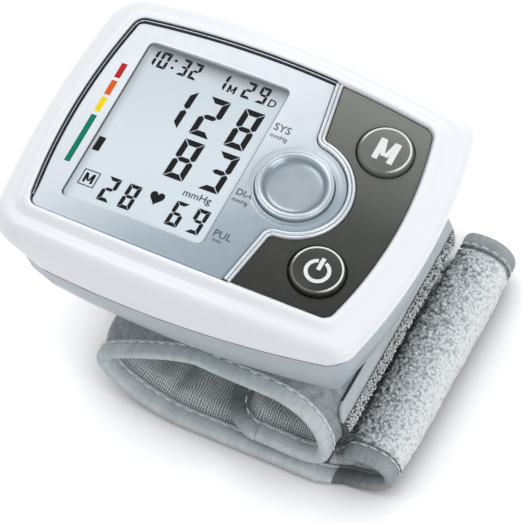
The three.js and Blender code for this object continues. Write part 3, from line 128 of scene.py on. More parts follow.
def fbm(x, y, seed):
    """Noise of two octaves, about 0."""
    total, weight, norm = 0.0, 1.0, 0.0
    for k in range(2):
        total = total + weight * (value_noise(x * 2**k, y * 2**k, seed + 11 * k) * 2 - 1)
        norm += weight
        weight *= 0.5
    return total / norm


def smooth(x, a, b):
    t = np.clip((np.asarray(x, float) - a) / (b - a), 0, 1)
    return t * t * (3 - 2 * t)


def unit(vector):
    return vector / np.linalg.norm(vector)


def lengths(points):
    """Length along a line at each of its points."""
    return np.concatenate([[0], np.cumsum(np.linalg.norm(np.diff(points, axis=0), axis=1))])


def face_z(x):
    return CROWN_Z - (FACE_RADIUS - np.sqrt(FACE_RADIUS**2 - (np.asarray(x, float) - CROWN_X) ** 2))


def parting_z(x):
    return CROWN_Z - PARTING_SHARE * CASE_DEPTH + PARTING_SLOPE * np.asarray(x, float)


# Materials.


class Tree:
    """Builds nodes in a tree."""

    def __init__(self, owner):
        owner.use_nodes = True
        self.tree = owner.node_tree
        self.tree.nodes.clear()

    def put(self, socket, value):
        if isinstance(value, bpy.types.NodeSocket):
            self.tree.links.new(value, socket)
        elif isinstance(value, tuple) and socket.type == "RGBA":
            socket.default_value = (*value, 1)
        else:
            socket.default_value = value

    def node(self, kind, inputs, **settings):
        """The outputs of a new node. Its inputs are numbers, colours or other outputs."""
        made = self.tree.nodes.new("ShaderNode" + kind)
        for key, value in settings.items():
            setattr(made, key, value)
        for key, value in inputs.items():
            self.put(made.inputs[key], value)
        return made.outputs

    def space(self):
        return self.node("TexCoord", {})["Object"]

    def cloth(self):
        """Lengths along and across a piece, in metres."""
        return self.node("UVMap", {}, uv_map="uv")[0]

    def split(self, vector):
        return self.node("SeparateXYZ", {0: vector})

    def scaled(self, vector, scale):
        return self.node("Mapping", {"Vector": vector, "Scale": scale})[0]

    def math(self, operation, a, b=0.0):
        return self.node("Math", {0: a, 1: b}, operation=operation)[0]

    def sum(self, *terms):
        """The sum of (value, weight) pairs."""
        total = None
        for value, weight in terms:
            part = value if weight == 1 else self.math("MULTIPLY", value, weight)
            total = part if total is None else self.math("ADD", total, part)
        return total

    def shaken(self, value, noise, amount):
        return self.sum((value, 1), (self.math("SUBTRACT", noise, 0.5), amount))

    def noise(self, vector, scale, detail, rough=0.55, distortion=0.0):
        inputs = {"Vector": vector, "Scale": scale, "Detail": detail}
        return self.node("TexNoise", {**inputs, "Roughness": rough, "Distortion": distortion})["Fac"]

    def voronoi(self, vector, scale):
        return self.node("TexVoronoi", {"Vector": vector, "Scale": scale})["Distance"]

    def sine(self, value, period):
        wave = self.math("SINE", self.math("MULTIPLY", value, 2 * math.pi / period))
        return self.math("ADD", self.math("MULTIPLY", wave, 0.5), 0.5)

    def ramp(self, value, *stops):
        made = self.tree.nodes.new("ShaderNodeValToRGB")
        self.put(made.inputs[0], value)
        elements = made.color_ramp.elements
        while len(elements) < len(stops):
            elements.new(0.5)
        for element, (place, color) in zip(elements, stops):
            element.position = place
            element.color = (*color, 1)
        return made.outputs[0]

    def span(self, value, low, high, to_low, to_high):
        inputs = {"Value": value, "From Min": low, "From Max": high}
        return self.node("MapRange", {**inputs, "To Min": to_low, "To Max": to_high})[0]

    def mix(self, factor, a, b, blend="MIX"):
        return self.node("Mix", {0: factor, 6: a, 7: b}, data_type="RGBA", blend_type=blend)[2]


class Surface(Tree):
    """A principled material."""

    def __init__(self, name, **constants):
        self.material = bpy.data.materials.new(name)
        super().__init__(self.material)
        self.shader = self.tree.nodes.new("ShaderNodeBsdfPrincipled")
        for key, value in constants.items():
            self.put(self.shader.inputs[key.replace("_", " ")], value)
        self.node("OutputMaterial", {0: self.shader.outputs[0]})

    def done(self, color, polish, least, most, height, strength, depth):
        """Colour, roughness from least to most with the polish noise, and relief."""
        relief = self.node("Bump", {"Strength": strength, "Distance": depth, "Height": height})
        self.put(self.shader.inputs["Base Color"], color)
        self.put(self.shader.inputs["Roughness"], self.span(polish, 0.3, 0.7, least, most))
        self.put(self.shader.inputs["Normal"], relief[0])
        return self.material


def tones(base, low, high):
    return tuple(c * low for c in base), tuple(min(c * high, 1) for c in base)


def coat(name, base, tone, polish, relief, **constants):
    """An even surface whose tone, polish and relief each follow noise."""
    m = Surface(name, **constants)
    at = m.space()
    scale, stop, *range_of_tone = tone
    low, high = tones(base, *range_of_tone)
    color = m.ramp(m.noise(at, scale, 2.0), (stop, low), (1 - stop, high))
    scale, detail, least, most = polish
    grain, strength, depth = relief
    return m.done(color, m.noise(at, scale, detail), least, most, m.noise(at, grain, 2.0), strength, depth)


def moulded(name, base, roughness, grain=2600.0, strength=0.06, gloss=0.0, spread=0.04):
    """Moulded plastic: fine texture, faint flow marks in its colour, uneven polish."""
    tone = (45.0, 0.3, 1 - spread, 1 + spread / 2)
    polish = (160.0, 3.0, roughness * 0.9, roughness * 1.12)
    return coat(name, base, tone, polish, (grain, strength, 0.00006), Coat_Weight=gloss, Coat_Roughness=0.06)


def make_bright(name, base=(0.80, 0.83, 0.86), roughness=0.30, metallic=0.45):
    """Bright metal coating with faint clouding."""
    polish = (420.0, 3.0, roughness * 0.8, roughness * 1.3)
    relief = (1500.0, 0.03, 0.00003)
    return coat(name, base, (110.0, 0.3, 0.93, 1.04), polish, relief, Metallic=metallic)


INK_SPECK = 2400.0


def make_ink(name, base, roughness=0.5, spread=0.15):
    """Printed ink: nearly even, with faint speckle where the coat is thin."""
    tone = (INK_SPECK, 0.35, 1 - spread, 1 + spread)
    polish = (INK_SPECK, 2.0, roughness * 0.9, roughness * 1.1)
    return coat(name, base, tone, polish, (INK_SPECK, 0.04, 0.00002), Specular_IOR_Level=0.15)


def make_white_gloss():
    m = Surface("white_gloss_shell", Coat_Weight=0.25, Coat_Roughness=0.08, IOR=1.46)
    at = m.space()
    clean = m.ramp(m.noise(at, 30.0, 2.0), (0.25, (0.845, 0.862, 0.885)), (0.75, (0.88, 0.893, 0.91)))
    height = m.span(m.split(at)[2], 0.045, 0.052, 0.10, 0.0)
    handled = m.math("MULTIPLY", m.noise(at, 260.0, 4.0, 0.7), height)
    color = m.mix(handled, clean, (0.66, 0.68, 0.70))
    return m.done(color, m.noise(at, 120.0, 3.0), 0.26, 0.34, m.noise(at, 900.0, 2.0), 0.05, 0.00004)


def flaked(m, at, wide, glint, share, polish):
    """Fine metallic flakes over a wide run of tone."""
    flakes = m.noise(at, 5200.0, 1.0)
    color = m.mix(m.span(flakes, 0.35, 0.65, 0.0, share), wide, glint)
    return m.done(color, m.noise(at, 300.0, 2.0), *polish, flakes, 0.08, 0.00003)


def make_silver_paint():
    """Metallic lacquer: a cool silver, with a painted reflection that deepens it to the lower right."""
    m = Surface("silver_paint", Metallic=0.22, Coat_Weight=0.15, Coat_Roughness=0.12)
    at = m.space()
    x, y, _ = m.split(at)
    # Painted reflection: light at the upper left, deep blue-grey at the lower right.
    painted_reflection_fade = m.span(m.sum((x, 0.62), (y, -0.78)), -0.030, 0.030, 0.0, 1.0)
    wide = m.ramp(
        painted_reflection_fade,
        (0.0, (0.82, 0.855, 0.89)),
        (0.40, (0.69, 0.735, 0.775)),
        (0.70, (0.325, 0.395, 0.445)),
        (1.0, (0.215, 0.280, 0.330)),
    )
    return flaked(m, at, wide, (0.86, 0.90, 0.94), 0.10, (0.30, 0.40))


def make_medallion():
    """Satin metal, deeper in tone inside the dish than on its rim, with painted shade darkest on the dish's
    inner wall.
    """
    m = Surface("medallion_satin", Metallic=0.55, Coat_Weight=0.2, Coat_Roughness=0.12)
    at = m.space()
    # Tone by radius: the dark stop at the dish's inner wall is painted shade.
    wide = m.ramp(
        m.sum((m.split(m.cloth())[0], 1), (m.noise(at, 90.0, 2.0), 0.0004)),
        (0.0, (0.385, 0.440, 0.480)),
        (0.46, (0.365, 0.420, 0.460)),
        (0.62, (0.235, 0.290, 0.330)),
        (0.72, (0.60, 0.66, 0.70)),
        (1.0, (0.42, 0.48, 0.52)),
    )
    return flaked(m, at, wide, (0.70, 0.75, 0.79), 0.14, (0.28, 0.38))


def make_dark_panel():
    """Semi-gloss taupe lacquer, with a painted reflection that lightens it towards the display's top edge."""
    m = Surface("dark_panel_lacquer", Coat_Weight=0.06, Coat_Roughness=0.15, Specular_IOR_Level=0.35)
    at = m.space()
    # Painted reflection: near black at the bottom, lighter towards the top.
    wide = m.ramp(
        m.span(m.split(at)[1], -0.026, 0.026, 0.0, 1.0),
        (0.0, (0.014, 0.015, 0.012)),
        (0.45, (0.048, 0.050, 0.043)),
        (1.0, (0.215, 0.220, 0.198)),
    )
    speck = m.noise(at, 4200.0, 2.0)
    color = m.mix(m.span(speck, 0.4, 0.7, 0.0, 0.07), wide, (0.26, 0.26, 0.24))
    return m.done(color, m.noise(at, 220.0, 3.0), 0.30, 0.40, speck, 0.10, 0.00004)


def make_brushed(name, base, direction):
    m = Surface(name, Metallic=1.0)
    streaks = m.noise(m.scaled(m.space(), direction), 900.0, 3.0, 0.7)
    low, high = tones(base, 0.82, 1.08)
    return m.done(m.ramp(streaks, (0.3, low), (0.7, high)), streaks, 0.24, 0.42, streaks, 0.12, 0.00003)


def make_display_ground():
    """The reflective ground of the display, with a painted shadow of its frame along the upper and left
    edges, and painted shade growing a little towards the top.
    """
    m = Surface("display_ground", Coat_Weight=0.12, Coat_Roughness=0.05, Specular_IOR_Level=0.3)
    at = m.space()
    u, v, _ = m.split(m.cloth())
    fine = m.noise(at, 6000.0, 1.0)
    base = m.ramp(m.noise(at, 60.0, 2.0), (0.25, (0.640, 0.710, 0.755)), (0.75, (0.685, 0.745, 0.785)))
    pale = m.mix(m.span(fine, 0.4, 0.6, 0.0, 0.08), base, (0.76, 0.81, 0.84))
    # Painted shadow of the frame along the top and left edges, and painted shade growing towards the top.
    top = m.span(v, 0.0155, 0.0201, 0.0, 1.0)
    left = m.span(u, -0.0136, -0.0158, 0.0, 0.62)
    edge = m.math("POWER", m.math("MAXIMUM", top, left), 1.5)
    shade = m.math("MINIMUM", m.sum((edge, 1), (m.span(v, 0.0, 0.0201, 0.0, 1.0), 0.16)), 1.0)
    color = m.mix(shade, pale, (0.165, 0.190, 0.205))
    return m.done(color, m.noise(at, 200.0, 2.0), 0.34, 0.42, fine, 0.02, 0.00002)


def make_painted_ring_highlight():
    """Painted highlight: a white ring on each cap that fades out towards the lower left, away from the light.
    """
    m = Surface("cap_ring_painted_highlight")
    speck = m.noise(m.space(), 2600.0, 2.0)
    # Share of the painted highlight round the ring, shaken by speckle.
    painted_light = m.shaken(m.split(m.cloth())[0], speck, 0.25)
    color = m.ramp(painted_light, (0.18, (0.13, 0.13, 0.12)), (0.42, (0.78, 0.79, 0.78)))
    return m.done(color, speck, 0.38, 0.5, speck, 0.04, 0.00002)


OUTER_THREAD = 0.00042


def make_outer_cloth():
    """Brushed woven cloth: short fibres over a fine plain weave, mottled grey."""
    m = Surface("outer_cloth_woven", Sheen_Weight=0.25, Sheen_Roughness=0.5)
    at = m.cloth()
    u, v, _ = m.split(at)
    over, under = m.sine(u, 2 * OUTER_THREAD), m.sine(v, 2 * OUTER_THREAD)
    check = m.math("ABSOLUTE", m.math("SUBTRACT", over, under))
    warp, weft = m.sine(u, OUTER_THREAD), m.sine(v, OUTER_THREAD)
    threads = m.sum((warp, check), (weft, m.math("SUBTRACT", 1.0, check)))
    fibres = m.noise(m.scaled(at, (1.0, 1.6, 1.0)), 2400.0, 4.0, 0.7)
    height = m.sum((threads, 0.4), (fibres, 0.6))
    color = m.ramp(
        m.sum((height, 0.55), (m.noise(at, 420.0, 4.0, 0.65), 0.45)),
        (0.30, (0.095, 0.110, 0.116)),
        (0.46, (0.235, 0.265, 0.276)),
        (0.62, (0.430, 0.470, 0.482)),
    )
    return m.done(color, fibres, 0.85, 0.98, height, 0.6, 0.00012)


def make_lining_cloth():
    """Ribbed knit: courses of small light loops on dark ground, with uneven wear."""
    m = Surface("lining_knit", Sheen_Weight=0.15, Sheen_Roughness=0.5)
    at = m.cloth()
    u, v, _ = m.split(at)
    ribs = m.sine(m.shaken(u, m.noise(at, 320.0, 3.0), 0.0011), 0.00056)
    slipped = m.shaken(v, m.noise(at, 540.0, 2.0), 0.0007)
    stitches = m.sine(m.sum((slipped, 1), (ribs, 0.00022)), 0.00046)
    loops = m.math("MULTIPLY", ribs, m.span(stitches, 0.0, 1.0, 0.30, 1.0))
    fibres = m.noise(at, 4200.0, 3.0, 0.75)
    height = m.sum((loops, 0.62), (fibres, 0.38))
    color = m.ramp(
        m.sum((height, 0.8), (m.noise(at, 130.0, 3.0), 0.2)),
        (0.20, (0.050, 0.058, 0.061)),
        (0.35, (0.370, 0.410, 0.420)),
        (0.57, (0.830, 0.865, 0.870)),
    )
    return m.done(color, fibres, 0.82, 0.96, height, 0.8, 0.00022)


END_TAPE_LENGTH = 0.0698


def make_tape(name, light, dark, rib=0.00034, strength=0.3, sink=0.0, painted_light=0.0):
    """Binding tape: close cross ribs, fine fibres, and creases where it was turned.

    With a sink the cloth goes deeper in tone over 9 mm from each end, and
    the last argument sets painted shade along the stretch that lies on the table."""
    m = Surface(name, Sheen_Weight=0.2, Sheen_Roughness=0.35)
    at = m.cloth()
    u, v, _ = m.split(at)
    ribs = m.sine(m.shaken(u, m.noise(at, 420.0, 2.0), 0.0005), rib)
    threads = m.sum((ribs, 0.6), (m.sine(v, 0.00024), 0.4))
    fibres = m.noise(at, 2900.0, 4.0, 0.7)
    creases = m.noise(m.scaled(at, (1.0, 0.35, 1.0)), 620.0, 4.0, 0.6, 0.6)
    height = m.sum((threads, 0.5), (fibres, 0.5))
    tone = m.sum((height, 0.40), (creases, 0.35), (m.noise(at, 150.0, 3.0), 0.25))
    if sink:
        from_end = m.math("MINIMUM", u, m.math("SUBTRACT", END_TAPE_LENGTH, u))
        tone = m.math("SUBTRACT", tone, m.span(from_end, 0.001, 0.009, 0.0, sink))
    # Painted shade over the stretch that lies on the table, fading out by 169 mm along the band.
    if painted_light:
        tone = m.math("SUBTRACT", tone, m.span(u, 0.1600, 0.1690, painted_light, 0.0))
    deep = tuple(0.32 * c for c in dark)
    color = m.ramp(tone, (0.0, deep), (0.33, dark), (0.62, light))
    return m.done(color, fibres, 0.55, 0.72, m.sum((height, 0.5), (creases, 1)), strength, 0.00016)


def make_pile():
    """Looped pile: pale curled fibres over dark gaps, with painted shade deepening its tone towards the fold.
    """
    m = Surface("looped_pile", Sheen_Weight=0.3, Sheen_Roughness=0.4)
    at = m.cloth()
    curl = m.noise(at, 1500.0, 3.0, 0.6, 1.2)
    cells = m.span(m.voronoi(at, 1750.0), 0.15, 0.85, 1.0, 0.0)
    fibres = m.noise(m.scaled(at, (1.0, 2.2, 1.0)), 3600.0, 4.0, 0.75, 0.8)
    height = m.sum((curl, 0.22), (cells, 0.48), (fibres, 0.30))
    # Painted shade: darker towards the fold at the tail's end, a little lighter before it.
    crease = m.span(m.split(at)[0], 0.1765, 0.1890, -0.10, 0.32)
    color = m.ramp(
        m.math("SUBTRACT", height, crease),
        (0.02, (0.070, 0.080, 0.084)),
        (0.32, (0.540, 0.570, 0.582)),
        (0.58, (0.880, 0.898, 0.905)),
    )
    return m.done(color, fibres, 0.85, 0.98, height, 0.9, 0.00030)


def make_thread(name, base):
    m = Surface(name, Sheen_Weight=0.3, Sheen_Roughness=0.4)
    u, v, _ = m.split(m.cloth())
    twist = m.sine(m.sum((u, 1), (v, 0.7)), 0.00028)
    fibres = m.noise(m.space(), 5200.0, 2.0)
    low, high = tones(base, 0.82, 1.08)
    color = m.ramp(m.sum((twist, 0.6), (fibres, 0.4)), (0.2, low), (0.7, high))
    return m.done(color, fibres, 0.6, 0.75, twist, 0.4, 0.00005)


def make_board():
    """Solder-resist green with a raster of tracks and pads below it."""
    m = Surface("circuit_board", Coat_Weight=0.3, Coat_Roughness=0.2)
    at = m.space()
    tracks = m.sine(m.sum((m.split(at)[0], 1), (m.noise(at, 90.0, 1.0), 0.004)), 0.0016)
    resist = m.ramp(tracks, (0.45, (0.020, 0.115, 0.060)), (0.60, (0.045, 0.190, 0.105)))
    pads = m.math("LESS_THAN", m.voronoi(at, 380.0), 0.16)
    color = m.mix(pads, resist, (0.55, 0.50, 0.36))
    return m.done(color, m.noise(at, 300.0, 2.0), 0.35, 0.5, tracks, 0.3, 0.00004)


def make_cell_jacket():
    """Printed film round a cell: blue, with a plain pale band and metal ends."""
    m = Surface("cell_jacket", Coat_Weight=0.3, Coat_Roughness=0.15)
    at = m.space()
    y = m.split(at)[1]
    grain = m.noise(m.scaled(at, (1.0, 0.1, 1.0)), 1800.0, 2.0)
    film = m.ramp(grain, (0.3, (0.035, 0.085, 0.240)), (0.7, (0.055, 0.120, 0.320)))
    band = m.math("LESS_THAN", m.math("ABSOLUTE", m.math("SUBTRACT", y, 0.012)), 0.002)
    ends = m.math("GREATER_THAN", m.math("ABSOLUTE", y), 0.0212)
    color = m.mix(ends, m.mix(band, film, (0.62, 0.64, 0.66)), (0.55, 0.56, 0.58))
    return m.done(color, grain, 0.28, 0.4, grain, 0.05, 0.00003)


# Each look is a material with the record's slot it stands for.
TAPE_LIGHT, TAPE_DARK = (0.660, 0.708, 0.720), (0.385, 0.430, 0.442)
HOOK_GROUND_TONES = (0.110, 0.120, 0.125), (0.020, 0.022, 0.024)
PALE_TONES = (0.560, 0.600, 0.610), (0.380, 0.415, 0.428)
RIBBED_TONES = (0.400, 0.435, 0.445), (0.185, 0.205, 0.212)
white_gloss = make_white_gloss(), "white_gloss"
silver_paint = make_silver_paint(), "silver_paint"
medallion_satin = make_medallion(), "silver_paint"
dark_panel = make_dark_panel(), "dark_panel"
bright_trim = make_bright("bright_trim_metal"), "bright_trim"
chrome_line = make_bright("chrome_bead", (0.66, 0.71, 0.75), 0.26, 0.8), "bright_trim"
# Near-black navy: painted shade in the recess groove and a painted dark reflection on the recess wall.
painted_dark_edge = moulded("painted_dark_edge_navy", (0.016, 0.024, 0.034), 0.30), "dark_panel"
shadow_line = moulded("groove_shadow", (0.045, 0.055, 0.065), 0.45), "dark_panel"
display_ground = make_display_ground(), "display_glass"
display_edge = moulded("display_edge_grey", (0.30, 0.335, 0.36), 0.40)
segment_ink = make_ink("segment_ink", (0.006, 0.0065, 0.0075), 0.5), "display_glass"
label_ink = make_ink("label_ink", (0.085, 0.105, 0.120)), "dark_panel"
white_ink = make_ink("white_ink", (0.80, 0.81, 0.80), 0.45, 0.06), "white_gloss"
painted_ring_highlight = make_painted_ring_highlight(), "white_gloss"
bar_ground = make_ink("bar_white_edge", (0.88, 0.89, 0.90), 0.5, 0.04), "white_gloss"
outer_cloth = make_outer_cloth(), "outer_cloth"
lining_cloth = make_lining_cloth(), "lining_cloth"
satin_tape = make_tape("satin_tape", TAPE_LIGHT, TAPE_DARK), "tape"
end_tape = make_tape("inner_end_tape_cloth", TAPE_LIGHT, TAPE_DARK, sink=0.40), "tape"
ribbed_tape = make_tape("ribbed_tape", *RIBBED_TONES, 0.00052, 0.45, painted_light=0.34), "tape"
hook_ground = make_tape("hook_ground_weave", *HOOK_GROUND_TONES, 0.00060, 0.5), "tape"
pale_tape = make_tape("pale_selvedge", *PALE_TONES, strength=0.15)
looped_pile = make_pile(), "loop_pile"
pale_thread = make_thread("pale_thread", (0.80, 0.82, 0.82)), "tape"
dark_thread = make_thread("dark_thread", (0.10, 0.11, 0.115)), "tape"
hook_nylon = moulded("hook_nylon", (0.78, 0.80, 0.81), 0.45, spread=0.15), "tape"

CARRIED = {
    "grey_shell": moulded("grey_shell_plastic", (0.385, 0.436, 0.472), 0.36, gloss=0.12),
    "clear_lens": moulded("clear_lens_plastic", (0.72, 0.75, 0.77), 0.08, gloss=0.5),
    "natural_plastic": moulded("natural_plastic", (0.62, 0.60, 0.54), 0.55, spread=0.08),
    "board": make_board(),
    "black_plastic": moulded("black_plastic", (0.018, 0.018, 0.020), 0.45, spread=0.2),
    "steel": make_brushed("brushed_steel", (0.55, 0.56, 0.58), (1.0, 0.12, 1.0)),
    "cell_jacket": make_cell_jacket(),
    "soft_tube": moulded("soft_tube_silicone", (0.58, 0.56, 0.49), 0.5, 900.0, 0.15),
    "rubber": moulded("grey_rubber", (0.075, 0.080, 0.085), 0.7, 700.0, 0.2, spread=0.1),
}
for material, slot in (white_gloss, silver_paint, dark_panel, bright_trim, display_ground):
    CARRIED[slot] = material
for material, slot in (outer_cloth, lining_cloth, satin_tape, looped_pile):
    CARRIED[slot] = material


# Mesh makers.


def linked(name, data):
    made = bpy.data.objects.new(name, data)
    bpy.context.scene.collection.objects.link(made)
    return made


def mesh_piece(name, points, faces, look, body=HOUSING, uv=None, flat=False):
    """A piece from housing millimetres. uv: one (u, v) per corner of every face, in metres."""
    material, slot = look
    where = (np.asarray(points, float).reshape(-1, 3) + (SHIFT_X, SHIFT_Y, 0)) * MM
    mesh = bpy.data.meshes.new(name)
    mesh.from_pydata([tuple(p) for p in where], [], [tuple(f) for f in faces])
    if uv is not None:
        mesh.uv_layers.new(name="uv").data.foreach_set("uv", np.asarray(uv, np.float32).ravel())
    mesh.polygons.foreach_set("use_smooth", [not flat] * len(mesh.polygons))
    mesh.materials.append(material)
    mesh.validate()
    piece = linked(name, mesh)
    if body:
        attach(piece, body)
    return piece


def grid_faces(nu, nv, wrap_u=False, wrap_v=False):
    rows, columns = np.arange(nu if wrap_u else nu - 1), np.arange(nv if wrap_v else nv - 1)
    a, b = (part.ravel() for part in np.meshgrid(rows, columns, indexing="ij"))
    corners = np.stack([a, b, a + 1, b, a + 1, b + 1, a, b + 1], 1)
    return (corners[:, 0::2] % nu) * nv + corners[:, 1::2] % nv, corners


def grid_piece(name, grid, look, u=None, v=None, wrap_u=False, caps=False, **more):
    """A loft of rings from a grid of points (nu, nv, 3), with u, v in mm."""
    nu, nv = grid.shape[:2]
    faces, corners = grid_faces(nu, nv, wrap_u, True)
    faces = faces.tolist()
    u, v = (np.arange(n) if given is None else np.asarray(given) for n, given in ((nu, u), (nv, v)))
    u, v = (np.append(row, row[-1] + (row[-1] - row[-2])).astype(float) for row in (u, v))
    uv = (np.stack([u[corners[:, 0::2]], v[corners[:, 1::2]]], -1) * MM).reshape(-1, 2).tolist()
    if caps:
        for first, turn in ((0, 1), ((nu - 1) * nv, -1)):
            for j in range(nv // 2 - 1):
                quad = (j, j + 1, nv - 2 - j, nv - 1 - j)[::turn]
                faces.append([first + k for k in quad])
                uv += [(0.0, 0.0)] * 4
    return mesh_piece(name, grid.reshape(-1, 3), faces, look, uv=uv, **more)


def orient_outward(piece):
    """Turns all faces outward where the mesh came out inside out."""
    mesh = piece.data
    volume = 0.0
    for polygon in mesh.polygons:
        a, *rest = (mesh.vertices[i].co for i in polygon.vertices)
        volume += sum(a.dot(b.cross(c)) for b, c in zip(rest, rest[1:]))
    if volume < 0:
        mesh.flip_normals()
    return piece


def orient_up(piece):
    """Turns a cap's faces so that its middle looks up."""
    mesh = piece.data
    if sum(p.normal.z * p.area for p in mesh.polygons) < 0:
        mesh.flip_normals()


def sharpen(piece, degrees):
    """Marks the edges that bend by more than an angle as sharp."""
    piece.data.set_sharp_from_angle(angle=math.radians(degrees))


def ellipse(cx, cy, rx, ry, angles):
    return np.stack([cx + rx * np.cos(angles), cy + ry * np.sin(angles)], 1)


def around(count):
    """Angles once round a closed ring."""
    return np.linspace(0, 2 * math.pi, count, endpoint=False)


def circle(cx, cy, radius, count=96):
    return ellipse(cx, cy, radius, radius, around(count))


def bowed(left, right, half, bows, rounds):
    """A rounded rectangle whose sides bow outwards."""
    left_bow, right_bow, side_bow = bows
    left_round, right_round = rounds
    x0, x1, y1 = left + left_bow, right - right_bow, half - side_bow
    corners = []
    for x, y, start in ((x1, y1, 0), (x0, y1, 1), (x0, -y1, 2), (x1, -y1, -1)):
        radius = right_round if x > 0 else left_round
        corners.append((x, y, x - math.copysign(radius, x), y - math.copysign(radius, y), radius, start))
    plain = []
    for k, (x, y, cx, cy, radius, start) in enumerate(corners):
        plain.append(ellipse(cx, cy, radius, radius, start * QUARTER + np.arange(13) / 12 * QUARTER))
        next_x, next_y, next_cx, next_cy = corners[(k + 1) % 4][:4]
        a, b, count = ((cx, y), (next_cx, next_y), 44) if k % 2 == 0 else ((x, cy), (next_x, next_cy), 36)
        plain.append(np.array(a) + np.subtract(b, a) * (np.arange(1, count) / count)[:, None])
    x, y = np.vstack(plain).T
    end = np.where(x < 0, x0, x1)
    bow = np.where(x < 0, -left_bow, right_bow)
    across, along = 1 - (y / y1) ** 2, 1 - (x / end) ** 2
    return np.stack([x + (x / end) * bow * across, y + (y / y1) * side_bow * along], 1)


def case_outline(inset):
    rounds = [max(radius - inset, LEAST_ROUND) for radius in CASE_ROUNDS]
    return bowed(LEFT_X + inset, RIGHT_X - inset, CASE_WIDTH / 2 - inset, CASE_BOWS, rounds)


def recess_outline(inset):
    rounds = (max(RECESS_ROUND - inset, LEAST_ROUND),) * 2
    return bowed(RECESS_LEFT + inset, RECESS_RIGHT - inset, RECESS_HALF - inset, RECESS_BOWS, rounds)


def spline(points, count):
    """Catmull-Rom through control rows, evenly in their parameter."""
    p = np.asarray(points, float)
    padded = np.vstack([2 * p[0] - p[1], p, 2 * p[-1] - p[-2]])
    t = np.linspace(0, len(p) - 1, count)
    k = np.clip(np.floor(t).astype(int), 0, len(p) - 2)
    f = (t - k)[:, None]
    a, b, c, d = padded[k], padded[k + 1], padded[k + 2], padded[k + 3]
    return 0.5 * (2 * b + (c - a) * f + (2 * a - 5 * b + 4 * c - d) * f**2 + (3 * b - a - 3 * c + d) * f**3)


def inside(points, loop):
    """Which points lie in a closed polygon."""
    x, y = points[:, 0], points[:, 1]
    hit = np.zeros(len(points), bool)
    for (ax, ay), (bx, by) in zip(loop, np.roll(loop, -1, 0)):
        with np.errstate(divide="ignore", invalid="ignore"):
            at = (bx - ax) * (y - ay) / (by - ay) + ax
        hit ^= ((ay > y) != (by > y)) & (x < at)
    return hit


def wound(loop, way):
    """The loop, turned to run counter-clockwise where way is 1 and clockwise where it is -1."""
    x, y = loop[:, 0], loop[:, 1]
    area = float(np.sum(x * np.roll(y, -1) - np.roll(x, -1) * y))
    return loop if area * way > 0 else loop[::-1]


def shifted(loop, distance):
    """A closed counter-clockwise loop moved inwards along its own normals."""
    normals = []
    for edge in (loop - np.roll(loop, 1, 0), np.roll(loop, -1, 0) - loop):
        size = np.linalg.norm(edge, axis=1)[:, None] + TINY
        normals.append(np.stack([-edge[:, 1], edge[:, 0]], 1) / size)
    n = normals[0] + normals[1]
    n /= np.linalg.norm(n, axis=1)[:, None] + TINY
    stretch = 1 / np.clip(np.sum(n * normals[0], 1), 0.5, 1)
    return loop + n * (distance * stretch)[:, None]


def resample(loop, spacing, closed=True):
    """Points at an even spacing along a line."""
    p = np.vstack([loop, loop[:1]]) if closed else loop
    s = lengths(p)
    t = np.linspace(0, s[-1], max(int(round(s[-1] / spacing)), 3) + 1)
    if closed:
        t = t[:-1]
    return np.stack([np.interp(t, s, p[:, i]) for i in range(2)], 1)


FLAT_RIM = 0.2
SLIVER = 0.002


def plate_piece(name, outer, holes, top, thickness, look, edge, spacing=1.4, extra=()):
    """A plate over the area between loops, its top at top(x, y), its edges rounded."""
    loops = [wound(outer, 1)] + [wound(hole, -1) for hole in holes]
    bend = np.arange(4) / 3 * QUARTER
    rings = [(0.0, thickness)] + list(zip(edge * (1 - np.cos(bend)), edge * (1 - np.sin(bend))))
    rings.append((edge + FLAT_RIM, 0.0))
    points, faces, flat, edges, ids = [], [], [], [], []
    innermost = [shifted(loop, edge + FLAT_RIM) for loop in loops]
    for loop, rim in zip(loops, innermost):
        base, n = len(points), len(loop)
        for inset, drop in rings:
            ring = shifted(loop, inset)
            points += [(x, y, h) for (x, y), h in zip(ring, top(ring[:, 0], ring[:, 1]) - drop)]
        faces += (base + grid_faces(len(rings), n, wrap_v=True)[0][:, [0, 3, 2, 1]]).tolist()
        edges += [(len(flat) + i, len(flat) + (i + 1) % n) for i in range(n)]
        flat += [tuple(p) for p in rim]
        ids += range(len(points) - n, len(points))

    def between(where, margin=0.0):
        keep = inside(where, shifted(innermost[0], margin))
        for rim in innermost[1:]:
            keep &= ~inside(where, shifted(rim[::-1], -margin))
        return keep

    low, high = loops[0].min(0), loops[0].max(0)
    gx, gy = np.meshgrid(np.arange(low[0], high[0], spacing), np.arange(low[1], high[1], spacing))
    fill = np.vstack([np.stack([gx.ravel(), gy.ravel()], 1), *extra])
    flat += [tuple(p) for p in fill[between(fill, spacing * 0.35)]]
    made, _, triangles, origin = delaunay_2d_cdt([Vector(p) for p in flat], edges, [], 0, 1e-7)[:4]
    made = np.array([tuple(p) for p in made])
    index = []
    for (x, y), source in zip(made, origin):
        if source and source[0] < len(ids):
            index.append(ids[source[0]])
        else:
            index.append(len(points))
            points.append((x, y, float(top(x, y))))
    middle = np.array([made[list(t)].mean(0) for t in triangles])
    for (a, b, c), wanted in zip(triangles, between(middle)):
        (ax, ay), (bx, by), (cx, cy) = made[a], made[b], made[c]
        turn = (bx - ax) * (cy - ay) - (by - ay) * (cx - ax)
        face = (index[a], index[b], index[c]) if turn > 0 else (index[a], index[c], index[b])
        if wanted and len(set(face)) == 3 and abs(turn) > SLIVER:
            faces.append(face)
    return mesh_piece(name, points, faces, look)


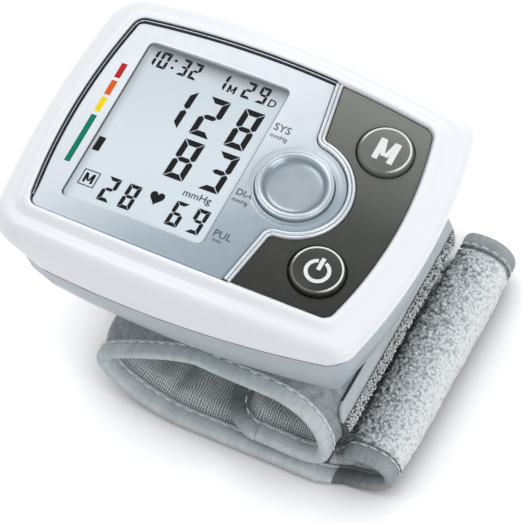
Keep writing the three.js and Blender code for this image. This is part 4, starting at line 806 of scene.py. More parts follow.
def turned_piece(name, rows, centre, look, sides, **more):
    """Rows of (radius, z) turned about a vertical axis."""
    rows = np.array(rows, float)
    rows[:, 0] = np.maximum(rows[:, 0], 0.004)
    cx, cy, cz = centre
    angles = around(sides)
    x, y = cx + rows[:, :1] * np.cos(angles), cy + rows[:, :1] * np.sin(angles)
    return grid_piece(name, np.stack([x, y, cz + rows[:, 1:] + 0 * x], -1), look, **more)


def print_piece(name, polygons, where, look, thick, **more):
    """Flat printed shapes: convex polygons of (x, y) set on a surface by where(x, y, lift)."""
    points, faces = [], []
    for polygon in polygons:
        n, start = len(polygon), len(points)
        points += [where(x, y, lift) for lift in (0.0, thick) for x, y in polygon]
        faces.append([start + n + i for i in range(n)])
        for i in range(n):
            k = (i + 1) % n
            faces.append([start + i, start + k, start + n + k, start + n + i])
    return mesh_piece(name, points, faces, look, flat=True, **more)


def text_polygons(words, size, x, y, bold=0.0):
    """The faces of a line of plain lettering, as polygons of (x, y)."""
    curve = bpy.data.curves.new("lettering", "FONT")
    curve.body, curve.size, curve.offset = words, size, bold
    curve.resolution_u = 3
    holder = linked("lettering", curve)
    bpy.context.view_layer.update()
    mesh = bpy.data.meshes.new_from_object(holder.evaluated_get(bpy.context.evaluated_depsgraph_get()))
    at = [(x + vertex.co.x, y + vertex.co.y) for vertex in mesh.vertices]
    made = [[at[i] for i in polygon.vertices] for polygon in mesh.polygons]
    bpy.data.meshes.remove(mesh)
    bpy.data.objects.remove(holder)
    bpy.data.curves.remove(curve)
    return made


# The solids that are carried over.


def softened():
    """Geometry nodes that shade a carried-over solid smooth, save at its real edges."""
    tree = bpy.data.node_groups.new("soft_shading", "GeometryNodeTree")
    for way in ("INPUT", "OUTPUT"):
        tree.interface.new_socket("Geometry", in_out=way, socket_type="NodeSocketGeometry")
    line = [tree.nodes.new("NodeGroupInput")]
    for kind in ("RemoveAttribute", "MergeByDistance", "SetShadeSmooth", "SetShadeSmooth"):
        line.append(tree.nodes.new("GeometryNode" + kind))
    line.append(tree.nodes.new("NodeGroupOutput"))
    for before, after in zip(line, line[1:]):
        tree.links.new(before.outputs[0], after.inputs["Geometry"])
    _, bare, merged, faces, edges, _ = line
    bare.inputs["Name"].default_value = "custom_normal"
    merged.inputs["Distance"].default_value = 1e-6
    faces.domain, edges.domain = "FACE", "EDGE"
    faces.inputs["Shade Smooth"].default_value = True
    angle = tree.nodes.new("GeometryNodeInputMeshEdgeAngle")
    sharp = tree.nodes.new("FunctionNodeCompare")
    sharp.operation = "LESS_THAN"
    sharp.inputs["B"].default_value = math.radians(28)
    tree.links.new(angle.outputs["Unsigned Angle"], sharp.inputs["A"])
    tree.links.new(sharp.outputs[0], edges.inputs["Shade Smooth"])
    return tree


soft_shading = softened()
slot_of = {row["node"]: row["material_slot"] for row in frame["record"]["subparts"]}
for name, node in frame["nodes"].items():
    node.data.materials.clear()
    node.data.materials.append(CARRIED[slot_of[name]])
    node.modifiers.new("soft_shading", "NODES").node_group = soft_shading


# Upper shell.

# From the parting line up and inwards: shares of the rim's width, of the drop, of the flare.
RIM_SHARES = [
    *((1.0, 0.985, 0.0), (1.0, 0.86, 0.30), (1.0, 0.72, 0.66), (1.0, 0.58, 0.93), (0.997, 0.46, 1.0)),
    *((0.972, 0.325, 1.0), (0.905, 0.21, 1.0), (0.80, 0.15, 1.0), (0.66, 0.122, 1.0), (0.52, 0.116, 1.0)),
    *((0.40, 0.104, 1.0), (0.30, 0.066, 1.0), (0.22, 0.026, 1.0), (0.14, 0.004, 1.0), (0.05, 0.006, 1.0)),
    (0.0, 0.045, 1.0),
]
SEAM_GAP = 0.15


def add_upper_shell():
    outer, inner, wall_in = case_outline(0), recess_outline(0), case_outline(1.8)
    ledge, deep = recess_outline(3.4), case_outline(3.9)
    wide = bowed(LEFT_X - 1.1, RIGHT_X + 1.2, CASE_WIDTH / 2, FLARE_BOWS, FLARE_ROUNDS)
    seam = lambda xy: parting_z(xy[:, 0]) + SEAM_GAP
    face = lambda xy: face_z(xy[:, 0])
    rings = [(wall_in, seam(wall_in))]
    rings += [(outer * share + wall_in * (1 - share), seam(outer)) for share in (0.4, 0.97)]
    for width, drop, flare in spline(RIM_SHARES, 64):
        xy = inner + (outer + (wide - outer) * flare - inner) * width
        top = face(xy) + LIP
        rings.append((xy, top + (seam(xy) - top) * drop))
    rings += [(inner, face(inner) + LIP - drop) for drop in (0.9, 1.4, 1.9)]
    below = ((inner, 0.35), (ledge, 0.35), (ledge, 1.8), (deep, 1.8))
    rings += [(xy, face(xy) - PLATE - drop) for xy, drop in below]
    rings.append((wall_in, (parting_z(wall_in[:, 0]) + face(wall_in) - 3.4) / 2))
    grid = np.array([np.column_stack(ring) for ring in rings])
    piece = grid_piece("upper_shell", grid, white_gloss, wrap_u=True)
    orient_outward(piece)
    sharpen(piece, 50)
    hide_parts("top_shell")


def button_holes(radius, count):
    return [circle(BUTTON_X, y, radius, count) for y in (BUTTON_Y, -BUTTON_Y)]


def add_deck():
    """The deck that carries plate and panel, with its holes under window and buttons."""
    outline = resample(recess_outline(1.0), 1.2)
    window = resample(rounded(WINDOW_HALF[0] + 1.6, WINDOW_HALF[1] + 1.6, 3.0, WINDOW_X), 1.2)
    top = lambda x, y: face_z(x) - PLATE - 0.3
    plate_piece("upper_shell_deck", outline, [window] + button_holes(6.0, 48), top, 1.5, white_gloss, 0.1, 3)


def rounded(half_x, half_y, radius, cx=0.0):
    """A rounded rectangle."""
    made = []
    for start, (sx, sy) in enumerate(((1, 1), (-1, 1), (-1, -1), (1, -1))):
        angles = (start + np.arange(11) / 10) * QUARTER
        made.append(ellipse(cx + sx * (half_x - radius), sy * (half_y - radius), radius, radius, angles))
    return np.vstack(made)


# Divider, plate and panel.

TAB_RADIUS = 11.45
TAB_FILLET = 2.0
DIVIDER_INSET = 0.35
DIVIDER_LEAN = 2.2
DIVIDER_GAP = 0.95
GROOVE_CLOSED, GROOVE_OPENS = 0.30, 0.62
MOAT_RADIUS, MOAT_WIDTH, MOAT_DEPTH = 8.78, 0.44, 0.36
MEDALLION_HOLE = 8.2


def divider_line(offset):
    reach = CASE_WIDTH / 2
    fx = TAB_FILLET - DIVIDER_INSET
    fy = math.sqrt((TAB_RADIUS + TAB_FILLET) ** 2 - fx**2)
    lean = DIVIDER_LEAN * (reach - fy) / (RECESS_HALF - fy)
    meets = math.atan2(fy, fx)
    fillet, tab = TAB_FILLET - offset, TAB_RADIUS + offset
    half = np.vstack([
        [(CROWN_X - DIVIDER_INSET - lean + offset, reach)],
        ellipse(CROWN_X + fx, fy, fillet, fillet, math.pi + np.arange(9) / 8 * meets),
        ellipse(CROWN_X, 0, tab, tab, meets * (1 - np.arange(1, 40) / 40)),
    ])
    return np.vstack([half, [(CROWN_X + tab, 0)], half[::-1] * (1, -1)])


def clipped(loop, keep):
    """The stretch of a closed loop that is kept, as one open line."""
    start = next(i for i in range(len(loop)) if keep[i] and not keep[i - 1])
    return np.roll(loop, -start, 0)[np.roll(keep, -start)]


def left_of(points, offset):
    """Which points lie on the display's side of the divider moved by an offset."""
    far = [(LEFT_X - 9, -CASE_WIDTH / 2), (LEFT_X - 9, CASE_WIDTH / 2)]
    return inside(points, np.vstack([divider_line(offset), far]))


def joined_region(outline, offset, left):
    """The part of an outline on one side of the divider moved by an offset."""
    dense = resample(outline, 0.35)
    arc = clipped(dense, left_of(dense, offset) == left)
    line = resample(divider_line(offset), 0.45, closed=False)
    line = line[inside(line, outline)]
    if np.linalg.norm(arc[-1] - line[0]) >= np.linalg.norm(arc[-1] - line[-1]):
        line = line[::-1]
    region = np.vstack([arc, line])
    return region[np.linalg.norm(region - np.roll(region, 1, 0), axis=1) > 0.12]


def groove_width(points):
    """The groove beside the plate is wide at its top and left, and closes elsewhere."""
    x, y = points[:, 0], points[:, 1]
    on_top = smooth(y, RECESS_HALF - 3.5, RECESS_HALF - 1.5)
    on_left = smooth(-x, -(LEFT_X + 9.0), -(LEFT_X + 7.0)) * smooth(y, -RECESS_HALF - 1, -RECESS_HALF + 8)
    return GROOVE_CLOSED + GROOVE_OPENS * np.maximum(on_top, on_left)


def level(x, y):
    return face_z(x)


def moat_z(x, y):
    """The plate's face, with the shallow ring sunk round the medallion."""
    r = np.hypot(x - CROWN_X, y)
    return face_z(x) - MOAT_DEPTH * np.exp(-(((r - MOAT_RADIUS) / MOAT_WIDTH) ** 2))


def add_faceplate():
    base = resample(recess_outline(0), 0.4)
    outline = base + (shifted(base, 1.0) - base) * groove_width(base)[:, None]
    region = joined_region(outline, -DIVIDER_GAP, True)
    window = resample(rounded(*WINDOW_HALF, WINDOW_CORNER, WINDOW_X), 0.5)
    holes = [window, circle(CROWN_X, 0, MEDALLION_HOLE, 120)]
    rings = [circle(CROWN_X, 0, 8.45 + 0.16 * k, 120) for k in range(9)]
    piece = plate_piece("silver_faceplate", region, holes, moat_z, PLATE, silver_paint, 0.22, extra=rings)
    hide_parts("faceplate")


def add_panel():
    region = joined_region(recess_outline(0.34), DIVIDER_GAP, False)
    piece = plate_piece("dark_button_panel", region, button_holes(6.02, 96), level, PLATE, dark_panel, 0.18)
    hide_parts("button_panel")


def swept(name, line, section, look):
    """A section of (side, lift) rows swept along a line on the face, side to its right."""
    ahead = np.roll(line, -1, 0) - np.roll(line, 1, 0)
    ahead[0] = line[1] - line[0]
    ahead[-1] = line[-1] - line[-2]
    ahead /= np.linalg.norm(ahead, axis=1)[:, None]
    side = np.stack([ahead[:, 1], -ahead[:, 0]], 1)
    columns = []
    for across, lift in section:
        xy = line + side * across
        columns.append(np.column_stack([xy, face_z(xy[:, 0]) + lift]))
    return orient_outward(grid_piece(name, np.stack(columns, 1), look, caps=True))


def add_divider():
    """Two bright lips with a dark line between them, along the edge of the tab."""
    line = resample(divider_line(0.0), 0.4, closed=False)
    line = line[inside(line, recess_outline(0.3))]
    pieces = []
    for name, middle, half, rise in (("inner", -0.42, 0.34, 0.50), ("outer", 0.36, 0.38, 0.66)):
        arc = ellipse(middle, 0, half, rise, np.linspace(0, math.pi, 11)).tolist()
        section = [(middle + half, -PLATE), *arc, (middle - half, -PLATE)]
        pieces.append(swept(f"divider_lip_{name}", line, section, bright_trim))
    low, high = -PLATE + 0.1, 0.06
    section = [(0.62, low), (0.62, high), (-0.62, high), (-0.62, low)]
    pieces.append(swept("divider_dark_line", line, section, shadow_line))
    for piece in pieces:
        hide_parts("divider_trim")


def edge_strip(name, arc, section, look):
    """A section along the recess edge, its side towards the middle of the face."""
    inward = -1 if np.cross(arc[1] - arc[0], [CROWN_X - arc[0][0], -arc[0][1]]) > 0 else 1
    swept(name, arc, [(inward * a, b) for a, b in section], look)


def add_bezel():
    """The bright bead along the recess edge, left of the divider, with a dark groove of painted shade and a
    dark strip of painted reflection on the recess wall.
    """
    base = resample(recess_outline(0), 0.4)
    arc = clipped(base, left_of(base, -0.2) & (groove_width(base) > 0.62))
    bead = ellipse(0.34, 0.18, 0.13, 0.13, around(10))
    edge_strip("recess_bead", arc, bead, chrome_line)
    # Dark wedge in the groove: painted shade.
    edge_strip("recess_groove", arc, [(0.02, -0.7), (0.02, 0.10), (0.80, -0.45), (0.80, -0.75)], painted_dark_edge)
    wall = [(0.015, -0.3), (0.015, 0.62), (0.075, 0.62), (0.075, -0.3)]
    # Dark strip on the recess wall: painted dark reflection.
    edge_strip("recess_dark_edge", arc, wall, painted_dark_edge)
    rest = clipped(base, ~left_of(base, 0.2))
    edge_strip("panel_bead", rest, ellipse(0.17, 0.10, 0.10, 0.12, around(10)), chrome_line)


MEDALLION_PROFILE = [
    *((0.0, -0.42), (2.6, -0.40), (4.6, -0.34), (5.5, -0.22), (6.05, 0.05), (6.42, 0.46), (6.72, 0.76)),
    *((6.98, 0.90), (7.20, 0.93), (7.42, 0.84), (7.52, 0.74), (7.66, 0.84), (7.82, 0.86), (7.95, 0.74)),
    *((8.0, 0.5), (8.0, 0.0), (8.0, -1.5)),
]


def add_medallion():
    rows = spline(MEDALLION_PROFILE, (len(MEDALLION_PROFILE) - 1) * 6 + 1)
    centre = (CROWN_X, 0, CROWN_Z - 0.06)
    piece = turned_piece("round_medallion", rows, centre, medallion_satin, 128, u=rows[:, 0] / 10 / MM)
    orient_up(piece)
    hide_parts("centre_medallion")
    bead = ellipse(7.2, 0.88, 0.16, 0.13, np.linspace(0, 2 * math.pi, 13))
    centre = (CROWN_X, 0, CROWN_Z - 0.05)
    orient_outward(turned_piece("medallion_bright_ring", bead, centre, bright_trim, 128))


# Buttons.

CAP_TOP = 0.9
CAP_FLAT, CAP_EDGE = 5.1, 0.6
CAP_RADIUS, CAP_FLANGE, CAP_STEM = 5.7, 6.7, 2.0


def cap_height(r):
    """Height of a cap's top over the face at a radius."""
    dome = 0.35 * (1 - (r / CAP_FLAT) ** 2)
    edge = CAP_EDGE * (1 - math.sqrt(max(0.0, 1 - (max(r - CAP_FLAT, 0) / CAP_EDGE) ** 2)))
    return CAP_TOP + max(dome, 0) - edge


# The painted highlight ring on a cap: radius and lift of each of its rows.
RING_ROWS = ((4.92, -0.02), (4.97, 0.035), (5.15, 0.035), (5.32, 0.035), (5.36, -0.02))
RING_SIDES = 120


def add_button(name, y, marks):
    body = f"{name}_button"
    face = float(face_z(BUTTON_X))
    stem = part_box(body)[0].z / MM - face
    rows = [(r, cap_height(r)) for r in (*np.linspace(0, CAP_FLAT, 12), *np.linspace(5.15, 5.695, 9))]
    rows += [(CAP_RADIUS, 0.0), (CAP_RADIUS, -3.6), (CAP_FLANGE, -3.62), (CAP_FLANGE, -4.4)]
    rows += [(CAP_STEM, -4.42), (CAP_STEM, stem)]
    cap = turned_piece(f"{name}_cap", rows, (BUTTON_X, y, face), dark_panel, 96, body=None)
    orient_up(cap)
    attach(cap, body)
    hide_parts(body)
    sharpen(cap, 40)

    grid = []
    for r, lift in RING_ROWS:
        height = np.full(RING_SIDES, face + cap_height(r) + lift)
        grid.append(np.column_stack([circle(BUTTON_X, y, r, RING_SIDES), height]))
    faces, corners = grid_faces(RING_SIDES, len(RING_ROWS), wrap_u=True)
    # lit: the painted highlight's share round each ring, strongest towards 62 degrees.
    lit = 0.5 + 0.5 * np.cos(around(RING_SIDES) - math.radians(62))
    uv = np.stack([lit[corners[:, 0::2] % RING_SIDES], corners[:, 1::2] * 0.1], -1).reshape(-1, 2)
    ring = mesh_piece(f"{name}_cap_ring", np.stack(grid, 1), faces.tolist(), painted_ring_highlight, body=None, uv=uv)
    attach(ring, body)
    orient_up(ring)

    def on_cap(px, py, lift):
        r = math.hypot(px - BUTTON_X, py - y)
        return (px, py, face + cap_height(min(r, 5.6)) + 0.01 + lift)

    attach(print_piece(f"{name}_cap_mark", marks, on_cap, white_ink, 0.035, body=None), body)


def split_quads(*polygon):
    """A quad cut along its length, so that it follows a domed cap."""
    a, b, c, d = (np.array(p) for p in polygon)
    made = []
    for t0, t1 in ((i / 6, (i + 1) / 6) for i in range(6)):
        made.append([a + (b - a) * t0, a + (b - a) * t1, d + (c - d) * t1, d + (c - d) * t0])
    return made


def letter_m(cx, cy, width, height, stroke):
    """A bold M from four strokes."""
    x0, x1 = cx - width / 2, cx + width / 2
    y0, y1 = cy - height / 2, cy + height / 2
    apex = y0 + height * 0.22
    half, top = stroke * 0.62, stroke * 1.12
    made = split_quads((x0, y0), (x0, y1), (x0 + stroke, y1), (x0 + stroke, y0))
    made += split_quads((x1 - stroke, y0), (x1 - stroke, y1), (x1, y1), (x1, y0))
    made += split_quads((x0 + 0.02, y1), (cx - half, apex), (cx + half * 0.2, apex), (x0 + top, y1))
    made += split_quads((x1 - top, y1), (cx - half * 0.2, apex), (cx + half, apex), (x1 - 0.02, y1))
    return made


def power_mark(cx, cy):
    """A ring open at its top, with a bar through the opening."""
    gap = math.radians(20)
    angles = np.linspace(QUARTER + gap, QUARTER - gap + 2 * math.pi, 49)
    inner, outer = (ellipse(cx, cy, r, r, angles) for r in (2.36 - 0.40, 2.36 + 0.40))
    made = [[inner[i], outer[i], outer[i + 1], inner[i + 1]] for i in range(48)]
    left, right, low, high = cx - 0.44, cx + 0.44, cy + 0.25, cy + 3.2
    return made + split_quads((left, low), (left, high), (right, high), (right, low))


# Display.

SLOPE = math.asin((CROWN_X - WINDOW_X) / FACE_RADIUS)
DISPLAY_DEPTH = 0.9


def on_display(x, y, lift):
    """A place on the display, in its own slightly sloping plane."""
    depth = -DISPLAY_DEPTH + lift
    along, up = math.cos(SLOPE), math.sin(SLOPE)
    return (WINDOW_X + x * along - depth * up, y, float(face_z(WINDOW_X)) + x * up + depth * along)


SEGMENTS = {
    **{"0": "abcdef", "1": "bc", "2": "abged", "3": "abgcd"},
    **{"6": "afgedc", "8": "abcdefg", "9": "abcdfg"},
}
DIGIT_SLANT = 0.035


def digit(character, x, y, width, height, stroke):
    """Seven-segment figure with its lower left corner at x, y."""
    gap = stroke * 0.10
    h, s = height / 2, stroke
    top = [(gap, height), (width - gap, height), (width - s - gap, height - s), (s + gap, height - s)]
    right = [(width, height - gap), (width, h + s * 0.35 + gap), (width - s * 0.45, h + gap)]
    right += [(width - s, h + s * 0.45 + gap), (width - s, height - s - gap)]
    bar = [(s * 0.62, h), (s + gap, h + s * 0.42), (width - s - gap, h + s * 0.42)]
    bar += [(width - px, height - py) for px, py in bar]
    turned = lambda shape: shape[:1] + shape[:0:-1]
    left = turned([(width - px, py) for px, py in right])
    lower = lambda shape: turned([(px, height - py) for px, py in shape])
    parts = {"a": top, "b": right, "c": lower(right), "d": lower(top), "e": lower(left), "f": left, "g": bar}
    return [[(x + px + py * DIGIT_SLANT, y + py) for px, py in parts[k]] for k in SEGMENTS[character]]


# Rows of figures: characters with their x, then y, width, height and stroke.
BIG = (4.5, 9.8, 1.30)
FIGURES = [
    ({"1": -6.1}, 3.05, BIG),
    ({"2": 1.15}, 3.1, BIG),
    ({"8": 8.95}, 3.15, BIG),
    ({"8": 0.95, "3": 8.9}, -8.1, BIG),
    ({"2": -8.85, "8": -4.2, "6": 6.5, "9": 11.3}, -18.45, (2.8, 6.05, 0.84)),
    ({"1": -15.15, "0": -12.5, "3": -7.95, "2": -5.35}, 15.0, (1.98, 4.1, 0.60)),
    ({"1": 0.80, "2": 6.75, "9": 10.0}, 15.0, (2.15, 4.1, 0.60)),
]


COLON_X, COLON_Y, COLON_RADIUS = -9.2, (17.95, 16.05), 0.33


def add_display():
    outline = resample(rounded(WINDOW_HALF[0] - 0.05, WINDOW_HALF[1] - 0.05, WINDOW_CORNER), 0.8)
    lens = resample(rounded(WINDOW_HALF[0] + 0.9, WINDOW_HALF[1] + 0.9, 2.5), 0.8)
    rings = [(lens, -2.65), (lens, -1.65), (outline, -1.62), (outline, -0.12), (shifted(outline, 0.12), 0.0)]
    n = min(len(loop) for loop, _ in rings)
    points, places = [], []
    for loop, lift in rings:
        start = int(np.argmax(loop[:, 0] + loop[:, 1] * 0.001 - np.abs(loop[:, 1]) * 0.5))
        loop = np.roll(loop, -start, 0)
        closed = np.vstack([loop, loop[:1]])
        s = lengths(closed)
        t = np.linspace(0, 1, n, endpoint=False) * s[-1]
        even = np.stack([np.interp(t, s, closed[:, i]) for i in range(2)], 1)
        points += [on_display(x, y, lift) for x, y in even]
        places += [(x * MM, y * MM) for x, y in even]
    faces = grid_faces(len(rings), n, wrap_v=True)[0][:, [0, 3, 2, 1]].tolist()
    faces += [[(len(rings) - 1) * n + i for i in range(n)], [n - 1 - i for i in range(n)]]
    uv = [places[i] for face in faces for i in face]
    piece = mesh_piece("display_cover", points, faces, display_ground, uv=uv)
    piece.data.materials.append(display_edge)
    for polygon in piece.data.polygons:
        polygon.material_index = int(len(polygon.vertices) == 4)
    orient_outward(piece)
    sharpen(piece, 30)
    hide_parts("display_window")

    marks = []
    for row, y, sizes in FIGURES:
        for character, x in row.items():
            marks += digit(character, x, y, *sizes)
    for y in COLON_Y:
        marks.append(ellipse(COLON_X, y, COLON_RADIUS, COLON_RADIUS, np.linspace(0, 5.5, 8)))
    marks.append([(-15.2, -8.0), (-13.7, -8.0), (-13.62, -4.5), (-15.12, -4.5)])
    marks += heart(2.45, -13.75, 3.1, 3.3)
    marks += box_frame(-12.38, -14.55, 3.55, 3.85, 0.20)
    marks += letter_m(-12.38, -14.55, 2.15, 2.35, 0.50)
    marks += letter_m(4.55, 15.95, 1.75, 1.85, 0.38)
    marks += text_polygons("D", 2.55, 12.75, 15.1, 0.022)
    marks += text_polygons("mmHg", 2.35, 6.75, -10.9)
    print_piece("display_figures", marks, lambda x, y, z: on_display(x, y, 0.012 + z), segment_ink, 0.03)


def heart(cx, cy, width, height):
    t = around(48)
    x = cx + 16 * np.sin(t) ** 3 / 32 * width
    y = cy + (13 * np.cos(t) - 5 * np.cos(2 * t) - 2 * np.cos(3 * t) - np.cos(4 * t) + 2.5) / 29 * height
    outline = np.stack([x, y], 1)
    return [[outline.mean(0), a, b] for a, b in zip(outline, np.roll(outline, -1, 0))]


def box_frame(cx, cy, width, height, line):
    x0, x1, y0, y1 = cx - width / 2, cx + width / 2, cy - height / 2, cy + height / 2
    strip = lambda left, right, low, high: [(left, low), (right, low), (right, high), (left, high)]
    sides = [strip(x0, x1, y0, y0 + line), strip(x0, x1, y1 - line, y1)]
    return sides + [strip(x, x + line, y0 + line, y1 - line) for x in (x0, x1 - line)]


def on_face(x, y, lift):
    return (x, y, float(moat_z(x, y)) + 0.008 + lift)


# Name, ends and ink of each bar of the scale.
SCALE_BARS = [
    ("red", 9.45, 13.2, (0.48, 0.014, 0.014)),
    ("orange", 4.95, 8.7, (0.74, 0.105, 0.010)),
    ("yellow", 0.5, 4.3, (0.88, 0.66, 0.012)),
    ("green", -12.65, -0.4, (0.000, 0.190, 0.125)),
]
BAR_X = (-32.5, -31.2)
BAR_MARGIN = 0.16

# Piece, boldness, and each word with its size and place.
LABELS = [
    ("unit_labels", 0.008, [("SYS", 2.45, 3.05, 10.35), ("DIA", 2.1, 3.05, -6.6), ("PUL", 2.35, 3.3, -17.3)]),
    (
        "unit_labels_small",
        0.0,
        [("mmHg", 1.45, 3.1, 8.55), ("mmHg", 1.3, 3.0, -8.3), ("/min", 1.15, 3.7, -18.45)],
    ),
]
LABEL_THICK = 0.045


def bar_box(low, high, margin):
    (x0, x1), low, high = (BAR_X[0] - margin, BAR_X[1] + margin), low - margin, high + margin
    return split_quads((x0, low), (x0, high), (x1, high), (x1, low))


def add_face_prints():
    on_ground = lambda x, y, z: on_face(x, y, z + 0.012)
    for name, low, high, tone in SCALE_BARS:
        ink = make_ink(f"bar_{name}", tone, 0.45, 0.06), "white_gloss"
        print_piece(f"scale_bar_edge_{name}", bar_box(low, high, BAR_MARGIN), on_face, bar_ground, 0.015)
        print_piece(f"scale_bar_{name}", bar_box(low, high, 0.0), on_ground, ink, 0.02)
    for name, bold, rows in LABELS:
        words = [shape for row in rows for shape in text_polygons(*row, bold)]
        print_piece(name, words, on_face, label_ink, LABEL_THICK)


# Cuff path.


def loop_x(share):
    return -LOOP_LEFT + share * (LOOP_LEFT + LOOP_RIGHT)


OVERLAP_Z = BAND_DEPTH + 0.3 + 0.5 / 3
TAIL_ROOT = LOOP_RIGHT + 1.0 + 2.0
TAIL_SPAN = TAIL_REACH - LOOP_RIGHT
CREASE_X = LOOP_RIGHT + 0.9 + 0.9

BEND_Z = OVERLAP_Z + 0.1 * LOOP_HEIGHT

# Places by shares of the loop's width and height, on the overlap, and in the tail.
at = lambda x_share, z_share: (loop_x(x_share), z_share * LOOP_HEIGHT)
over = lambda x_share: (loop_x(x_share), OVERLAP_Z)
tail = lambda x_share, z_share: (TAIL_REACH - TAIL_SPAN * x_share, TAIL_HEIGHT * z_share)

# Name, control points, and the sideways skew at both ends of each run.
RUNS = [
    ("innerEnd", [over(0.52), over(0.81)], (0, 0)),
    ("lowerRight", [over(0.81), over(0.95), (LOOP_RIGHT, BEND_Z), at(1, 0.434)], (0, 0)),
    ("rightSide", [at(1, 0.434), at(1, 0.7), at(0.9, 1), at(0.75, 1)], (0, 0)),
    ("seat", [at(0.75, 1), at(0.43, 1)], (0, 0)),
    ("leftShoulder", [at(0.43, 1), at(0.36, 1), at(0.015, 0.535), at(0, 0.41)], (0, 0)),
    ("leftHeel", [at(0, 0.41), at(-0.011, 0.245), at(0.17, 0), at(0.36, 0)], (0, -1.5)),
    ("ground", [at(0.36, 0), at(0.95, 0)], (-1.5, -0.75)),
    ("tailBase", [at(0.95, 0), (TAIL_ROOT, 0)], (-0.75, 1.5)),
    ("tailTurn", [(TAIL_ROOT, 0), (TAIL_ROOT + TAIL_SPAN * 0.4, 0), tail(0, 0.2), tail(0, 0.5)], (1.5, 3.0)),
    ("archRight", [tail(0, 0.5), tail(0, 0.82), tail(0.2, 1), tail(0.44, 1)], (3.0, 3.0)),
    (
        "archLeft",
        [tail(0.44, 1), tail(0.65, 1), (CREASE_X + 0.3, TAIL_HEIGHT * 0.95), (CREASE_X, TAIL_HEIGHT * 0.76)],
        (3.0, 3.0),
    ),
]
RUN_STEPS = 80


def bezier(points, t):
    p = np.asarray(points, float)
    t = t[:, None]
    if len(p) == 2:
        return p[0] + (p[1] - p[0]) * t, np.repeat((p[1] - p[0])[None], len(t), 0)
    a, b, c, d = p
    where = a * (1 - t) ** 3 + 3 * b * (1 - t) ** 2 * t + 3 * c * (1 - t) * t**2 + d * t**3
    along = 3 * (b - a) * (1 - t) ** 2 + 6 * (c - b) * (1 - t) * t + 3 * (d - c) * t**2
    return where, along


class Path:
    """The outside of the band, by length along it from its inner end."""

    def __init__(self):
        rows = []
        for k, (_, points, (s0, s1)) in enumerate(RUNS):
            t = np.linspace(0, 1, RUN_STEPS + 1)[min(k, 1) :]
            where, along = bezier(points, t)
            rows.append(np.column_stack([where, along, s0 + (s1 - s0) * t]))
        rows = np.vstack(rows)
        along = rows[:, 2:4]
        along /= np.linalg.norm(along, axis=1)[:, None]
        self.s, self.rows = lengths(rows[:, :2]), rows
        self.knots = {run[0]: self.s[[RUN_STEPS * k, RUN_STEPS * (k + 1)]] for k, run in enumerate(RUNS)}

    def start(self, name):
        return self.knots[name][0]

    def end(self, name):
        return self.knots[name][1]

    def station(self, s):
        """x, z, the inward normal's x and z, and the skew."""
        x, z, tx, tz, skew = (np.interp(s, self.s, column) for column in self.rows.T)
        n = np.hypot(tx, tz)
        return x, z, -tz / n, tx / n, skew

    def point(self, s, y, depth):
        """Places at lengths s, at y from the front rim and a depth inwards."""
        x, z, nx, nz, skew = self.station(s)
        return np.stack([x + nx * depth, BAND_NEAR + skew + y, z + nz * depth], -1)


path = Path()


def even(a, b, step):
    return np.linspace(a, b, max(int(math.ceil((b - a) / step)), 2) + 1)


def from_edge(y, s):
    """Distance from the band's edge, its corners at the inner end rounded."""
    across = np.maximum(END_ROUND - np.minimum(y, BAND_WIDTH - y), 0)
    return END_ROUND - np.hypot(across, np.maximum(END_ROUND - s, 0))


CLOTH_EDGE = 0.9


def cloth_grid(s, across, depth_of):
    """Points of a cloth face at lengths s: across is 0 to 1 from rim to rim."""
    grid, rows = [], []
    for length in s:
        side = max((END_ROUND - CLOTH_EDGE) ** 2 - max(END_ROUND - length, 0) ** 2, 0)
        inset = END_ROUND - math.sqrt(side)
        y = inset + across * (BAND_WIDTH - 2 * inset)
        here = np.full_like(y, length)
        rows.append(y)
        grid.append(path.point(here, y, depth_of(here, y)))
    return np.array(grid), np.array(rows)


def cloth_piece(name, s, across, outer_depth, inner_depth, look, back_step=3, **more):
    """A closed cloth body between two depth functions, its fine face first."""
    front, v = cloth_grid(s, across, outer_depth)
    back_across = across[::back_step]
    if back_across[-1] != across[-1]:
        back_across = np.append(back_across, across[-1])
    back, vb = cloth_grid(s, back_across[::-1], inner_depth)
    grid = np.concatenate([front, back], 1)
    nu, nv = grid.shape[:2]
    faces, corners = grid_faces(nu, nv, wrap_v=True)
    cu, cv = corners[:, 0::2], corners[:, 1::2]
    v_all = np.concatenate([v, vb, v[:, :1] - 2.0], 1)
    uv = (np.stack([s[cu], v_all[cu, cv]], -1).reshape(-1, 2) * MM).tolist()
    faces = faces.tolist() + [list(range(nv))[::-1], list(range((nu - 1) * nv, nu * nv))]
    uv += [(s[0] * MM, 0.0)] * nv + [(s[-1] * MM, 0.0)] * nv
    return orient_outward(mesh_piece(name, grid, faces, look, uv=uv, **more))


# Cuff pieces.

TAPE = 4.0
STITCH_ROW = TAPE - 0.74


def rim_rise(y, s, reach=3.2):
    """0 under the tape, rising to 1 where the padding is free of it."""
    return smooth(from_edge(y, s), TAPE - 0.25, TAPE + reach)


def seat_hold(s):
    """1 where the clamp holds the band flat under the housing, 0 away from it."""
    a, b = path.knots["seat"]
    return smooth(s, a - 7, a) * (1 - smooth(s, b, b + 7))


def puckers(s, y, seed):
    """Small gathers that run in from the stitched rims and die out."""
    d = from_edge(y, s)
    near = np.exp(-np.maximum(d - TAPE, 0) / 4.5) * smooth(d, TAPE - 0.4, TAPE + 1.0)
    side = np.where(y < BAND_WIDTH / 2, 0.0, 40.0)
    return fbm(s / 2.6 + side, y / 14.0, seed) * near


def bump(s, middle, width):
    return np.exp(-(((s - middle) / width) ** 2))


